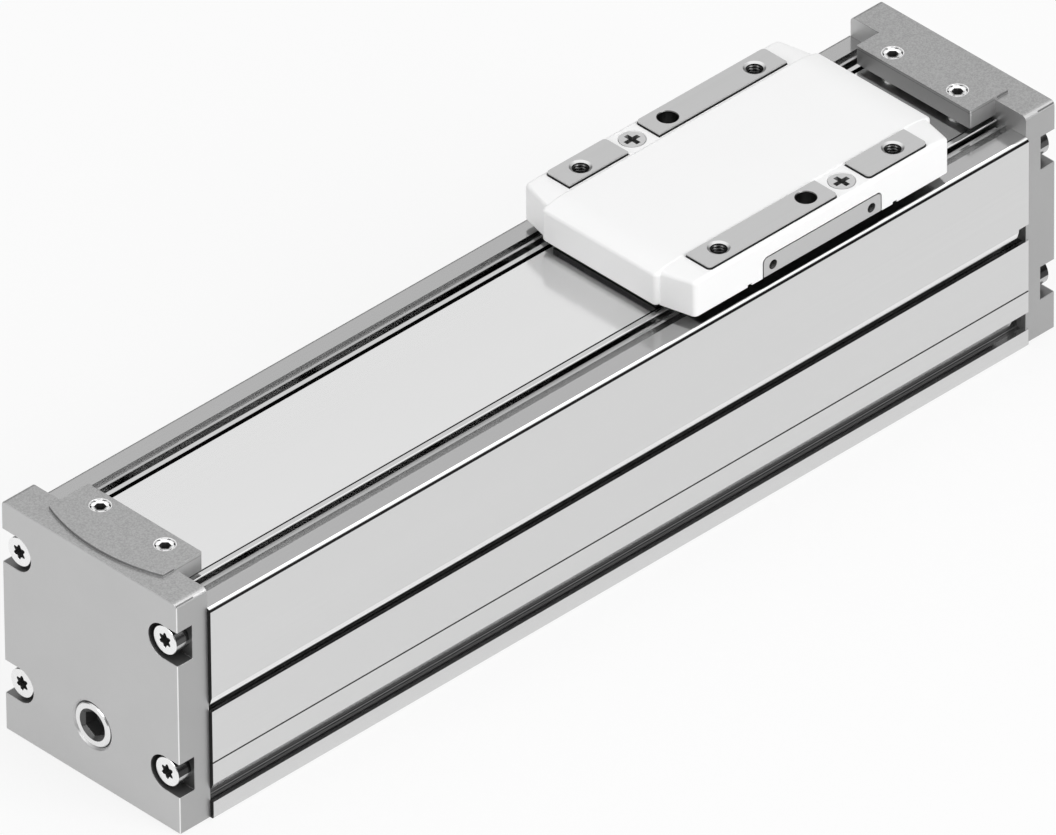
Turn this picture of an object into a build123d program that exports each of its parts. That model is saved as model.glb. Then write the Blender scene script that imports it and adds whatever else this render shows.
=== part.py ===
from build123d import *
import math
import os

# Housing profile: the extrusion lies along X, its underside on Z = 0
PROFILE_LENGTH = 263.8
PROFILE_HEIGHT = 59.2
TOP_STRIP_WIDTH = 5.8
TOP_EDGE_RADIUS = 1.2
BOTTOM_EDGE_RADIUS = 0.6
SIDE_WALL = 4.6
GUIDE_SPACE_DEPTH = 35.7
FLOOR_THICKNESS = 4.0
FLANGE_DEPTH = 9.8
RAIL_SEAT_DEPTH = 0.5
CHANNEL_WALL = 2.15
BASE_THICKNESS = 3.6
BASE_PAD_WIDTH = 11.0
BASE_RELIEF_DEPTH = 0.4
FLOOR_RIB_WIDTH = 9.0
FLOOR_RIB_DEPTH = 4.0

# Top slots beside the band: an open slot for the leg, a thin rib, then a blind labyrinth groove
SLOT_WIDTH = 2.0
RIB_THICKNESS = 0.7
LABYRINTH_WIDTH = 1.8
LABYRINTH_DEPTH = 3.0
UNDERCUT = 0.3
UNDERCUT_DROP = 0.9

# Side groove for sensors, with its insertion window at the far end
SENSOR_GROOVE_Z = 31.3
SENSOR_MOUTH = 2.0
SENSOR_BORE_RADIUS = 2.3
SENSOR_BORE_DEPTH = 3.1
SENSOR_TAPER_HEIGHT = 1.9
SENSOR_TAPER_DEPTH = 0.6
SENSOR_WALL = 1.2
SENSOR_WINDOW_LENGTH = 3.3
SENSOR_WINDOW_HEIGHT = 4.6
SENSOR_WINDOW_DEPTH = 1.6

# Side groove for foot clamps, and the scribed line above it
CLAMP_GROOVE_Z = 6.5
CLAMP_MOUTH = 3.4
CLAMP_TAPER_HEIGHT = 1.6
CLAMP_TAPER_DEPTH = 0.7
CLAMP_LIP = 1.6
CLAMP_POCKET_HEIGHT = 5.6
CLAMP_POCKET_DEPTH = 2.4
CLAMP_WINDOW_LENGTH = 5.6
SCRIBE_Z = 15.8
SCRIBE_SIZE = 0.35

# Cover band and the carrier strip that holds it between the two slots
BAND_WIDTH = 34.6
BAND_THICKNESS = 0.3
BAND_SIDE_GAP = 0.85
CARRIER_LIP = 1.55
CARRIER_LIP_RISE = 0.4
CARRIER_BASE = 2.0
END_PLAY = 0.15

# End caps
CAP_THICKNESS = 9.6
CAP_SIDE_INSET = 1.0
CAP_RISE = 5.6
CAP_TOP_RADIUS = 1.4
CAP_BOTTOM_RADIUS = 0.4
CAP_FACE_CHAMFER = 0.25
PAD_RISE = 0.8
PAD_ARC_RADIUS = 52.0
PAD_ARC_SETBACK = 1.9
TONGUE_OVERHANG = 1.5
TONGUE_LENGTH = 8.3
TONGUE_THICKNESS = 5.1
SHELF_THICKNESS = 2.9

# Cap screws in their open side notches
CAP_SCREW_OFFSET = 2.4
CAP_SCREW_DROP = 7.0
CAP_SCREW_Z_BOTTOM = 15.0
CAP_SCREW_HEAD_RADIUS = 3.75
CAP_SCREW_RIM = 0.12
CAP_SCREW_HEAD_HEIGHT = 4.0
CAP_SCREW_SHANK_RADIUS = 1.95
CAP_SCREW_LENGTH = 16.0
NOTCH_RADIUS = 4.7
NOTCH_DEPTH = 4.8
STAR_OUTER_RADIUS = 1.95
STAR_INNER_RADIUS = 1.3
STAR_DEPTH = 1.8

# Set screws that clamp the band
CLAMP_SCREW_SETBACK = 13.9
CLAMP_SCREW_SPACING = 21.4
CLAMP_SCREW_RADIUS = 2.4
CLAMP_SCREW_CHAMFER = 0.5
CLAMP_SCREW_TIP_RADIUS = 1.4
CLAMP_SCREW_SUNK = 0.2
CLAMP_SCREW_HEX = 2.5
CLAMP_SCREW_SOCKET_DEPTH = 2.5

# Screw plug of the air port, with its seal
PORT_Z = 16.0
PORT_COUNTERBORE_RADIUS = 5.95
PORT_MOUTH_RADIUS = 6.55
PORT_THREAD_RADIUS = 4.85
PLUG_SUNK = 0.15
PLUG_HEAD_RADIUS = 5.75
PLUG_HEAD_HEIGHT = 2.1
PLUG_SHANK_LENGTH = 5.0
PLUG_HEX = 6.0
PLUG_MOUTH_RADIUS = 4.2
PLUG_MOUTH_DEPTH = 0.9
PLUG_SOCKET_DEPTH = 4.2
SEAL_THICKNESS = 1.0
SEAL_WIDTH = 0.9

# Guide rail with its screws and hole caps
RAIL_WIDTH = 15.0
RAIL_HEIGHT = 13.0
RAIL_END_GAP = 4.0
RAIL_BASE_HEIGHT = 3.6
RAIL_WAIST_WIDTH = 10.0
RAIL_SCREW_PITCH = 60.0
RAIL_SCREW_COUNT = 4
RAIL_SCREW_HEAD_RADIUS = 3.5
RAIL_SCREW_HEAD_HEIGHT = 4.0
RAIL_SCREW_SHANK_RADIUS = 1.95
RAIL_SCREW_ENGAGEMENT = 6.5
RAIL_COUNTERBORE_DEPTH = 6.5
RAIL_CAP_THICKNESS = 1.2

# Ball tracks, measured from the rail's foot
BALL_RADIUS = 1.5875
BALL_TRACK_Y = 8.0
BALL_TRACK_Z_LOW = 7.3
BALL_TRACK_Z_HIGH = 12.5
TRACK_PLAY = 0.03
BALLS_PER_ROW = 2
BALL_PITCH = 25.2

# Ball runner
RUNNER_HEIGHT = 24.0
RUNNER_WIDTH = 34.0
RUNNER_LENGTH = 38.8
RUNNER_FOOT_GAP = 4.3
RUNNER_CHAMFER = 1.2
RUNNER_SIDE_GAP = 0.55
RUNNER_ROOF_GAP = 1.2
RETURN_BORE_Y = 12.6
RETURN_BORE_RADIUS = 1.75
RUNNER_CAP_LENGTH = 7.4
RUNNER_CAP_INSET = 0.3
RUNNER_SEAL_THICKNESS = 1.5
RUNNER_SEAL_INSET = 0.6
RUNNER_SEAL_GAP = 0.3
RUNNER_BOLT_SPACING = 26.0
RUNNER_BOLT_RADIUS = 1.95
RUNNER_BOLT_HEAD_RADIUS = 3.5
RUNNER_BOLT_HEAD_HEIGHT = 4.0
RUNNER_BOLT_ENGAGEMENT = 5.0
SEAL_SCREW_RADIUS = 1.2
SEAL_SCREW_HEAD_RADIUS = 2.2
SEAL_SCREW_HEAD_HEIGHT = 1.2
SEAL_SCREW_Z = 19.0
SEAL_SCREW_ENGAGEMENT = 4.0

# Slide: rest position of its middle, and its metal body
SLIDE_X = 66.0
LEG_PLAY = 0.3
LEG_LENGTH = 76.0
BRIDGE_LENGTH = 88.0
BRIDGE_CARRIER_GAP = 0.5
FLANGE_REACH = 8.0
FLANGE_BOTTOM_GAP = 2.4
TABLE_RISE = 12.65
PAD_HEIGHT = 3.0
PAD_CORNER_RADIUS = 1.0
SHORT_PAD_START = 16.3
LONG_PAD_START = 6.2
PAD_END = 35.4
THREAD_HOLE_X = 28.3
PAD_HOLE_OFFSET = 3.8
THREAD_HOLE_RADIUS = 2.1
THREAD_HOLE_DEPTH = 9.0
CENTRING_HOLE_RADIUS = 2.5
CENTRING_HOLE_DEPTH = 6.0
HOLE_CHAMFER = 0.65
COUNTERSINK_ANGLE = 120
CENTRING_CHAMFER = 0.2
SIDE_PLATE_LENGTH = 38.0
SIDE_PLATE_HEIGHT = 5.1
SIDE_PLATE_GAP = 2.1
SIDE_PLATE_RADIUS = 1.2
SIDE_HOLE_SPACING = 32.0
SIDE_HOLE_DROP = 2.8
SIDE_HOLE_RADIUS = 1.25
SIDE_HOLE_DEPTH = 6.0

# White cover of the slide
COVER_PROFILE_GAP = 2.0
PAD_PROUD = 0.8
SIDE_PLATE_PROUD = 1.2
WING_LENGTH_OUT = 82.4
WING_LENGTH_IN = 87.0
WING_EDGE_RADIUS = 1.3
BLOCK_RISE = 0.2
BLOCK_OVERHANG = 1.7
BLOCK_LENGTH = 90.0
BLOCK_EDGE_RADIUS = 1.3
CROWN_START = 37.0
CROWN_RADIUS = 27.0
COVER_WALL = 2.0
COVER_PLAY = 0.25
SIDE_PLATE_PLAY = 0.4
COVER_SCREW_X = 11.3
COVER_SCREW_OFFSET = 4.1
COVER_SCREW_RADIUS = 1.95
COVER_SCREW_HEAD_RADIUS = 3.2
COVER_SCREW_LENGTH = 7.0
COVER_SCREW_SUNK = 0.1
CROSS_LENGTH = 4.3
CROSS_WIDTH = 1.25
CROSS_DEPTH = 1.0
COVER_NOTCH_X = 23.6
COVER_NOTCH_WIDTH = 1.4
COVER_NOTCH_HEIGHT = 0.6

# Band wipers and end buffers
WIPER_THICKNESS = 2.6
WIPER_BAND_GAP = 0.3
WIPER_HEIGHT = 4.6
WIPER_PLAY = 0.1
BUFFER_RADIUS = 3.0
BUFFER_SPACING = 24.0
BUFFER_NOSE = 0.8
BUFFER_STOP_GAP = 0.3
BUFFER_STUD_RADIUS = 1.4
BUFFER_STUD_LENGTH = 3.5
BUFFER_STUD_PLAY = 0.1
TRAVEL_FORWARD = 10.0
THREAD_PLAY = 0.05
BOLT_PLAY = 0.2

# Places that follow from the sizes above
HALF_PROFILE = PROFILE_LENGTH / 2
HALF_LENGTH = HALF_PROFILE + CAP_THICKNESS
CARRIER_EDGE = BAND_WIDTH / 2 + BAND_SIDE_GAP + CARRIER_LIP
SLOT_EDGE = CARRIER_EDGE + SLOT_WIDTH
GROOVE_INNER = SLOT_EDGE + RIB_THICKNESS
GROOVE_OUTER = GROOVE_INNER + LABYRINTH_WIDTH
PROFILE_WIDTH = 2 * (GROOVE_OUTER + TOP_STRIP_WIDTH)
CHAMBER_WIDTH = PROFILE_WIDTH - 2 * SIDE_WALL
FLANGE_BOTTOM = PROFILE_HEIGHT - FLANGE_DEPTH
FLOOR_TOP = PROFILE_HEIGHT - GUIDE_SPACE_DEPTH
RAIL_FOOT = FLOOR_TOP - RAIL_SEAT_DEPTH
CAP_WIDTH = PROFILE_WIDTH - 2 * CAP_SIDE_INSET
CAP_HEIGHT = PROFILE_HEIGHT + CAP_RISE
CAP_SCREW_Y = SLOT_EDGE + CAP_SCREW_OFFSET
CAP_SCREW_Z_TOP = PROFILE_HEIGHT - CAP_SCREW_DROP
LOWER_CHAMBER_WIDTH = 2 * (CAP_SCREW_Y - CAP_SCREW_SHANK_RADIUS - CHANNEL_WALL)
BASE_RELIEF_WIDTH = PROFILE_WIDTH - 2 * BASE_PAD_WIDTH
TONGUE_WIDTH = BAND_WIDTH + 2 * TONGUE_OVERHANG
BAND_TOP = PROFILE_HEIGHT
BAND_BOTTOM = BAND_TOP - BAND_THICKNESS
CARRIER_TOP = BAND_TOP + CARRIER_LIP_RISE
CARRIER_BOTTOM = BAND_BOTTOM - CARRIER_BASE
TONGUE_TOP = CAP_HEIGHT + PAD_RISE
TONGUE_BOTTOM = TONGUE_TOP - TONGUE_THICKNESS
RUNNER_TOP = RAIL_FOOT + RUNNER_HEIGHT
BRIDGE_TOP = CARRIER_BOTTOM - BRIDGE_CARRIER_GAP
LEG_INNER = CARRIER_EDGE + LEG_PLAY
LEG_OUTER = SLOT_EDGE - LEG_PLAY
PAD_TOP = PROFILE_HEIGHT + TABLE_RISE
BODY_TOP = PAD_TOP - PAD_HEIGHT
BODY_BOTTOM = PROFILE_HEIGHT + FLANGE_BOTTOM_GAP
BLOCK_WIDTH = BAND_WIDTH + 2 * BLOCK_OVERHANG
FLANGE_INNER = BLOCK_WIDTH / 2 + COVER_PLAY
FLANGE_OUTER = BLOCK_WIDTH / 2 + FLANGE_REACH
WING_WIDTH = 2 * (FLANGE_OUTER + SIDE_PLATE_PROUD)
WING_TOP = PAD_TOP - PAD_PROUD
COVER_BOTTOM = PROFILE_HEIGHT + COVER_PROFILE_GAP
PAD_HOLE_Y = BLOCK_WIDTH / 2 + PAD_HOLE_OFFSET
COVER_SCREW_Y = BLOCK_WIDTH / 2 + COVER_SCREW_OFFSET
SIDE_PLATE_BOTTOM = PROFILE_HEIGHT + SIDE_PLATE_GAP
SIDE_PLATE_TOP = SIDE_PLATE_BOTTOM + SIDE_PLATE_HEIGHT
SIDE_HOLE_Z = SIDE_PLATE_TOP - SIDE_HOLE_DROP
COUNTERSINK_DEPTH = HOLE_CHAMFER / math.tan(math.radians(COUNTERSINK_ANGLE / 2))
BUFFER_Z = CARRIER_BOTTOM - SHELF_THICKNESS - BUFFER_RADIUS - BRIDGE_CARRIER_GAP
FORWARD_STOP = SLIDE_X + TRAVEL_FORWARD + BRIDGE_LENGTH / 2 + BUFFER_STOP_GAP
BUFFER_LENGTH = HALF_PROFILE - FORWARD_STOP
SIDES = (-1, 1)


def slab(x_low, x_high, y_low, y_high, z_low, z_high):
    """A block between two opposite corners."""
    size = (x_high - x_low, y_high - y_low, z_high - z_low)
    centre = ((x_low + x_high) / 2, (y_low + y_high) / 2, (z_low + z_high) / 2)
    return Pos(*centre) * Box(*size)


def window(y_low, y_high, z_low, z_high):
    """A rectangle in the cross-section, across Y and up Z."""
    centre = ((y_low + y_high) / 2, (z_low + z_high) / 2)
    return Pos(*centre) * Rectangle(y_high - y_low, z_high - z_low)


def run(section, x_start, x_end):
    """A cross-section carried along the axis."""
    return extrude(Plane.YZ.offset(x_start) * section, amount=x_end - x_start)


def rod_x(radius, x_start, x_end, y, z):
    """A round bar along the axis."""
    return run(Pos(y, z) * Circle(radius), x_start, x_end)


def rod_z(radius, z_start, z_end, x, y):
    """An upright round bar."""
    return extrude(Plane.XY.offset(z_start) * Pos(x, y) * Circle(radius), amount=z_end - z_start)


def rod_y(radius, y_start, y_end, x, z):
    """A round bar across the axis."""
    bar = Cylinder(radius, abs(y_end - y_start))
    return Pos(x, (y_start + y_end) / 2, z) * Rot(90, 0, 0) * bar


def cone_z(radius_low, radius_high, z_start, z_end, x, y):
    """An upright cone between two heights."""
    cone = Cone(radius_low, radius_high, z_end - z_start)
    return Pos(x, y, (z_start + z_end) / 2) * cone


def hexagon(across_flats):
    """A regular hexagon by its width across flats."""
    return RegularPolygon(across_flats / 2, 6, major_radius=False)


def star(outer_radius, inner_radius):
    """The six-pointed outline of a torx socket."""
    points = []
    for step in range(12):
        radius = outer_radius if step % 2 == 0 else inner_radius
        angle = math.radians(30 * step)
        points.append((radius * math.cos(angle), radius * math.sin(angle)))
    return make_face(Polyline(*points, close=True))


def both_sides(section):
    """A half-section with its mirror image across the middle plane."""
    return section + mirror(section, about=Plane.YZ)


def far_end(solid):
    """The same piece at the other end, turned half a turn about the vertical."""
    return Rot(0, 0, 180) * solid


def sensor_groove():
    """The sensor groove on the +Y side: tapered lead-in, narrow mouth and round bore."""
    face = PROFILE_WIDTH / 2
    low = SENSOR_GROOVE_Z - SENSOR_MOUTH / 2
    high = SENSOR_GROOVE_Z + SENSOR_MOUTH / 2
    bore = Pos(face - SENSOR_BORE_DEPTH, SENSOR_GROOVE_Z) * Circle(SENSOR_BORE_RADIUS)
    mouth = window(face - SENSOR_BORE_DEPTH, face + 1, low, high)
    taper_top = high + SENSOR_TAPER_HEIGHT
    taper = make_face(Polyline((face - SENSOR_TAPER_DEPTH, high), (face, taper_top), (face + 1, taper_top),
                               (face + 1, low), (face - SENSOR_TAPER_DEPTH, low), close=True))
    return bore + mouth + taper


def clamp_groove():
    """The clamp groove on the +Y side: bevelled upper lip, mouth and a wider pocket behind."""
    face = PROFILE_WIDTH / 2
    low = CLAMP_GROOVE_Z - CLAMP_MOUTH / 2
    high = CLAMP_GROOVE_Z + CLAMP_MOUTH / 2
    back = face - CLAMP_LIP - CLAMP_POCKET_DEPTH
    pocket = window(back, face - CLAMP_LIP, CLAMP_GROOVE_Z - CLAMP_POCKET_HEIGHT / 2,
                    CLAMP_GROOVE_Z + CLAMP_POCKET_HEIGHT / 2)
    mouth = window(back, face + 1, low, high)
    taper_top = high + CLAMP_TAPER_HEIGHT
    taper = make_face(Polyline((face - CLAMP_TAPER_DEPTH, high), (face, taper_top), (face + 1, taper_top),
                               (face + 1, low), (face - CLAMP_TAPER_DEPTH, low), close=True))
    return fillet(pocket.vertices(), 0.5) + mouth + taper


def scribe_line():
    """The fine V line on the +Y side."""
    face = PROFILE_WIDTH / 2
    return make_face(Polyline((face + 0.1, SCRIBE_Z - SCRIBE_SIZE), (face + 0.1, SCRIBE_Z + SCRIBE_SIZE),
                              (face - SCRIBE_SIZE, SCRIBE_Z), close=True))


def labyrinth_groove():
    """The blind groove beside the rib, widened below its mouth."""
    mouth = window(GROOVE_INNER, GROOVE_OUTER, PROFILE_HEIGHT - LABYRINTH_DEPTH, PROFILE_HEIGHT + 1)
    undercut = window(GROOVE_INNER, GROOVE_OUTER + UNDERCUT, PROFILE_HEIGHT - LABYRINTH_DEPTH,
                      PROFILE_HEIGHT - UNDERCUT_DROP)
    return mouth + undercut


def profile_outline():
    """The outer outline, rounded at its four long edges."""
    outline = window(-PROFILE_WIDTH / 2, PROFILE_WIDTH / 2, 0, PROFILE_HEIGHT)
    corners = outline.vertices().sort_by(Axis.Y)
    outline = fillet(corners[-2:], TOP_EDGE_RADIUS)
    corners = outline.vertices().sort_by(Axis.Y)
    return fillet(corners[:2], BOTTOM_EDGE_RADIUS)


def upper_chamber():
    """The hollow that the runner travels in, waisted where the sensor grooves back onto it."""
    half = CHAMBER_WIDTH / 2
    chamber = fillet(window(-half, half, FLOOR_TOP, FLANGE_BOTTOM).vertices(), 1.5)
    bulge_inner = PROFILE_WIDTH / 2 - SENSOR_BORE_DEPTH - SENSOR_BORE_RADIUS - SENSOR_WALL
    bulge_half = SENSOR_BORE_RADIUS + SENSOR_WALL
    bulge = window(bulge_inner, half + 1, SENSOR_GROOVE_Z - bulge_half, SENSOR_GROOVE_Z + bulge_half)
    bulge = chamfer(bulge.vertices().sort_by(Axis.X)[:2], 1.2)
    throat = window(-SLOT_EDGE, SLOT_EDGE, FLANGE_BOTTOM - 1, PROFILE_HEIGHT + 1)
    seat = window(-RAIL_WIDTH / 2 - THREAD_PLAY, RAIL_WIDTH / 2 + THREAD_PLAY, RAIL_FOOT, FLOOR_TOP + 1)
    return chamber - both_sides(bulge) + throat + seat


def lower_chamber():
    """The hollow below the floor, with a rib that backs the rail screws."""
    half = LOWER_CHAMBER_WIDTH / 2
    roof = FLOOR_TOP - FLOOR_THICKNESS
    chamber = fillet(window(-half, half, BASE_THICKNESS, roof).vertices(), 2.0)
    rib = window(-FLOOR_RIB_WIDTH / 2, FLOOR_RIB_WIDTH / 2, roof - FLOOR_RIB_DEPTH, roof + 1)
    return chamber - rib


def screw_channels():
    """The four channels that take the cap screws."""
    channels = Sketch()
    for side in SIDES:
        for height in (CAP_SCREW_Z_TOP, CAP_SCREW_Z_BOTTOM):
            channels += Pos(side * CAP_SCREW_Y, height) * Circle(CAP_SCREW_SHANK_RADIUS + THREAD_PLAY)
    return channels


def rail_screw_places():
    """Positions of the rail screws along the axis."""
    first = -RAIL_SCREW_PITCH * (RAIL_SCREW_COUNT - 1) / 2
    return [first + RAIL_SCREW_PITCH * index for index in range(RAIL_SCREW_COUNT)]


def groove_windows():
    """The cuts at the far end through which inserts enter the side grooves."""
    face = PROFILE_WIDTH / 2
    sensor_low = SENSOR_GROOVE_Z - SENSOR_MOUTH / 2
    sensor = window(face - SENSOR_WINDOW_DEPTH, face + 1, sensor_low, sensor_low + SENSOR_WINDOW_HEIGHT)
    clamp_low = CLAMP_GROOVE_Z - CLAMP_MOUTH / 2
    clamp = window(face - CLAMP_LIP - CLAMP_POCKET_DEPTH, face + 1, clamp_low,
                   CLAMP_GROOVE_Z + CLAMP_POCKET_HEIGHT / 2 + 0.4)
    cuts = run(both_sides(sensor), HALF_PROFILE - SENSOR_WINDOW_LENGTH, HALF_PROFILE + 1)
    return cuts + run(both_sides(clamp), HALF_PROFILE - CLAMP_WINDOW_LENGTH, HALF_PROFILE + 1)


def make_profile():
    """The extruded housing."""
    section = profile_outline() - upper_chamber() - lower_chamber() - screw_channels()
    section -= both_sides(sensor_groove()) + both_sides(clamp_groove())
    section -= both_sides(scribe_line()) + both_sides(labyrinth_groove())
    section -= window(-BASE_RELIEF_WIDTH / 2, BASE_RELIEF_WIDTH / 2, -1, BASE_RELIEF_DEPTH)
    profile = run(section, -HALF_PROFILE, HALF_PROFILE) - groove_windows()
    for x in rail_screw_places():
        profile -= rod_z(RAIL_SCREW_SHANK_RADIUS + THREAD_PLAY, FLOOR_TOP - FLOOR_THICKNESS - FLOOR_RIB_DEPTH - 1,
                         FLOOR_TOP, x, 0)
    return profile


def make_carrier():
    """The strip between the slots, with a raised lip along each edge and a seat for the band."""
    section = window(-CARRIER_EDGE, CARRIER_EDGE, CARRIER_BOTTOM, CARRIER_TOP)
    crest = section.vertices().sort_by(Axis.Y)[-2:]
    section = fillet(crest, CARRIER_LIP_RISE)
    lip_inner = CARRIER_EDGE - CARRIER_LIP
    section -= window(-lip_inner, lip_inner, BAND_BOTTOM, CARRIER_TOP + 1)
    undercut = window(CARRIER_EDGE - UNDERCUT, CARRIER_EDGE + 1, CARRIER_BOTTOM + UNDERCUT,
                      CARRIER_TOP - UNDERCUT_DROP)
    section -= both_sides(undercut)
    return run(section, -HALF_PROFILE + END_PLAY, HALF_PROFILE - END_PLAY)


def make_band():
    """The flat cover band."""
    section = window(-BAND_WIDTH / 2, BAND_WIDTH / 2, BAND_BOTTOM, BAND_TOP)
    return run(section, -HALF_PROFILE + END_PLAY, HALF_PROFILE - END_PLAY)


def cap_plate():
    """The plate of the near cap, rounded at its long corners and broken around its outer face."""
    outline = window(-CAP_WIDTH / 2, CAP_WIDTH / 2, 0, CAP_HEIGHT)
    outline = fillet(outline.vertices().sort_by(Axis.Y)[-2:], CAP_TOP_RADIUS)
    outline = fillet(outline.vertices().sort_by(Axis.Y)[:2], CAP_BOTTOM_RADIUS)
    plate = run(outline, -HALF_LENGTH, -HALF_PROFILE)
    return chamfer(plate.edges().group_by(Axis.X)[0], CAP_FACE_CHAMFER)


def clamp_tongue():
    """The tongue over the band: its raised pad starts in an arc on top of the plate."""
    tip = -HALF_PROFILE + TONGUE_LENGTH
    arc_centre = -HALF_LENGTH + PAD_ARC_SETBACK + PAD_ARC_RADIUS
    half = TONGUE_WIDTH / 2
    plan = Pos(arc_centre, 0) * Circle(PAD_ARC_RADIUS)
    plan &= Pos((tip - HALF_LENGTH) / 2, 0) * Rectangle(tip + HALF_LENGTH, TONGUE_WIDTH)
    pad = extrude(Plane.XY.offset(CAP_HEIGHT - 1) * plan, amount=PAD_RISE + 1)
    bar = slab(-HALF_PROFILE - 1, tip, -half, half, TONGUE_BOTTOM, TONGUE_TOP)
    tip_edges = (pad + bar).edges().filter_by(Axis.Z).group_by(Axis.X)[-1]
    return fillet(tip_edges, 0.5)


def cap_screw_cuts():
    """Side notches and through holes of the four cap screws."""
    cuts = Part()
    for side in SIDES:
        for height in (CAP_SCREW_Z_TOP, CAP_SCREW_Z_BOTTOM):
            notch = Pos(side * CAP_SCREW_Y, height) * Circle(NOTCH_RADIUS)
            edge = side * (CAP_WIDTH / 2 + 1)
            notch += window(min(side * CAP_SCREW_Y, edge), max(side * CAP_SCREW_Y, edge),
                            height - NOTCH_RADIUS, height + NOTCH_RADIUS)
            cuts += run(notch, -HALF_LENGTH - 1, -HALF_LENGTH + NOTCH_DEPTH)
            cuts += rod_x(CAP_SCREW_SHANK_RADIUS + BOLT_PLAY, -HALF_LENGTH, -HALF_PROFILE + 1,
                          side * CAP_SCREW_Y, height)
    return cuts


def clamp_screw_places():
    """Centres of the near set screws."""
    x = -HALF_LENGTH + CLAMP_SCREW_SETBACK
    return [(x, side * CLAMP_SCREW_SPACING / 2) for side in SIDES]


def make_near_cap():
    """The near end cap: plate, clamp tongue, shelf under the band and all its holes."""
    shelf = slab(-HALF_PROFILE - 1, -HALF_PROFILE + TONGUE_LENGTH, -CARRIER_EDGE + 1, CARRIER_EDGE - 1,
                 CARRIER_BOTTOM - SHELF_THICKNESS, CARRIER_BOTTOM)
    cap = cap_plate() + clamp_tongue() + shelf
    cap -= cap_screw_cuts()
    for x, y in clamp_screw_places():
        cap -= rod_z(CLAMP_SCREW_RADIUS + THREAD_PLAY, TONGUE_BOTTOM - 1, TONGUE_TOP + 1, x, y)
    cap -= rod_x(PORT_COUNTERBORE_RADIUS, -HALF_LENGTH - 1, -HALF_LENGTH + port_floor(), 0, PORT_Z)
    mouth_depth = PORT_MOUTH_RADIUS - PORT_COUNTERBORE_RADIUS
    mouth = Rot(0, 90, 0) * Cone(PORT_MOUTH_RADIUS, PORT_COUNTERBORE_RADIUS, mouth_depth)
    cap -= Pos(-HALF_LENGTH + mouth_depth / 2, 0, PORT_Z) * mouth
    cap -= rod_x(PORT_THREAD_RADIUS, -HALF_LENGTH, -HALF_PROFILE + 1, 0, PORT_Z)
    for side in SIDES:
        cap -= rod_x(BUFFER_STUD_RADIUS + THREAD_PLAY, -HALF_PROFILE - BUFFER_STUD_LENGTH - BUFFER_STUD_PLAY,
                     -HALF_PROFILE + 1, side * BUFFER_SPACING / 2, BUFFER_Z)
    return cap


def port_floor():
    """Depth of the port's counterbore: plug head, seal and how far the plug sits back."""
    return PLUG_SUNK + PLUG_HEAD_HEIGHT + SEAL_THICKNESS


def make_cap_screws():
    """The four torx screws of the near cap."""
    screws = Part()
    head_top = -HALF_LENGTH + NOTCH_DEPTH - CAP_SCREW_HEAD_HEIGHT
    for side in SIDES:
        for height in (CAP_SCREW_Z_TOP, CAP_SCREW_Z_BOTTOM):
            y = side * CAP_SCREW_Y
            head = rod_x(CAP_SCREW_HEAD_RADIUS, head_top, -HALF_LENGTH + NOTCH_DEPTH, y, height)
            rim = head.edges().filter_by(GeomType.CIRCLE).sort_by(Axis.X)[0]
            head = chamfer(rim, CAP_SCREW_RIM)
            shank = rod_x(CAP_SCREW_SHANK_RADIUS, head_top + STAR_DEPTH, -HALF_LENGTH + NOTCH_DEPTH
                          + CAP_SCREW_LENGTH, y, height)
            socket = run(Pos(y, height) * star(STAR_OUTER_RADIUS, STAR_INNER_RADIUS), head_top - 1,
                         head_top + STAR_DEPTH)
            screws += head + shank - socket
    return screws


def make_clamp_screws():
    """The two set screws that press the near end of the band onto its carrier."""
    screws = Part()
    top = TONGUE_TOP - CLAMP_SCREW_SUNK
    for x, y in clamp_screw_places():
        body = rod_z(CLAMP_SCREW_RADIUS, BAND_TOP + 1, top - CLAMP_SCREW_CHAMFER, x, y)
        body += cone_z(CLAMP_SCREW_RADIUS, CLAMP_SCREW_RADIUS - CLAMP_SCREW_CHAMFER, top - CLAMP_SCREW_CHAMFER,
                       top, x, y)
        body += cone_z(CLAMP_SCREW_TIP_RADIUS, CLAMP_SCREW_RADIUS, BAND_TOP, BAND_TOP + 1, x, y)
        socket_plane = Plane.XY.offset(top - CLAMP_SCREW_SOCKET_DEPTH)
        body -= extrude(socket_plane * Pos(x, y) * hexagon(CLAMP_SCREW_HEX), amount=CLAMP_SCREW_SOCKET_DEPTH + 1)
        screws += body
    return screws


def make_port_plug():
    """The screw plug of the near air port, with a countersunk hexagon socket."""
    face = -HALF_LENGTH + PLUG_SUNK
    head_end = face + PLUG_HEAD_HEIGHT
    plug = rod_x(PLUG_HEAD_RADIUS, face, head_end, 0, PORT_Z)
    plug += rod_x(PORT_THREAD_RADIUS - THREAD_PLAY, head_end, head_end + SEAL_THICKNESS + PLUG_SHANK_LENGTH, 0,
                  PORT_Z)
    mouth = Cone(PLUG_MOUTH_RADIUS, PLUG_HEX / 2, PLUG_MOUTH_DEPTH)
    plug -= Pos(face + PLUG_MOUTH_DEPTH / 2, 0, PORT_Z) * Rot(0, 90, 0) * mouth
    plug -= run(Pos(0, PORT_Z) * hexagon(PLUG_HEX), face - 1, face + PLUG_SOCKET_DEPTH)
    return plug


def make_port_seal():
    """The sealing ring under the plug's head."""
    start = -HALF_LENGTH + PLUG_SUNK + PLUG_HEAD_HEIGHT
    inner = PORT_THREAD_RADIUS + THREAD_PLAY
    ring = Circle(inner + SEAL_WIDTH) - Circle(inner)
    return run(Pos(0, PORT_Z) * ring, start, start + SEAL_THICKNESS)


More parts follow.
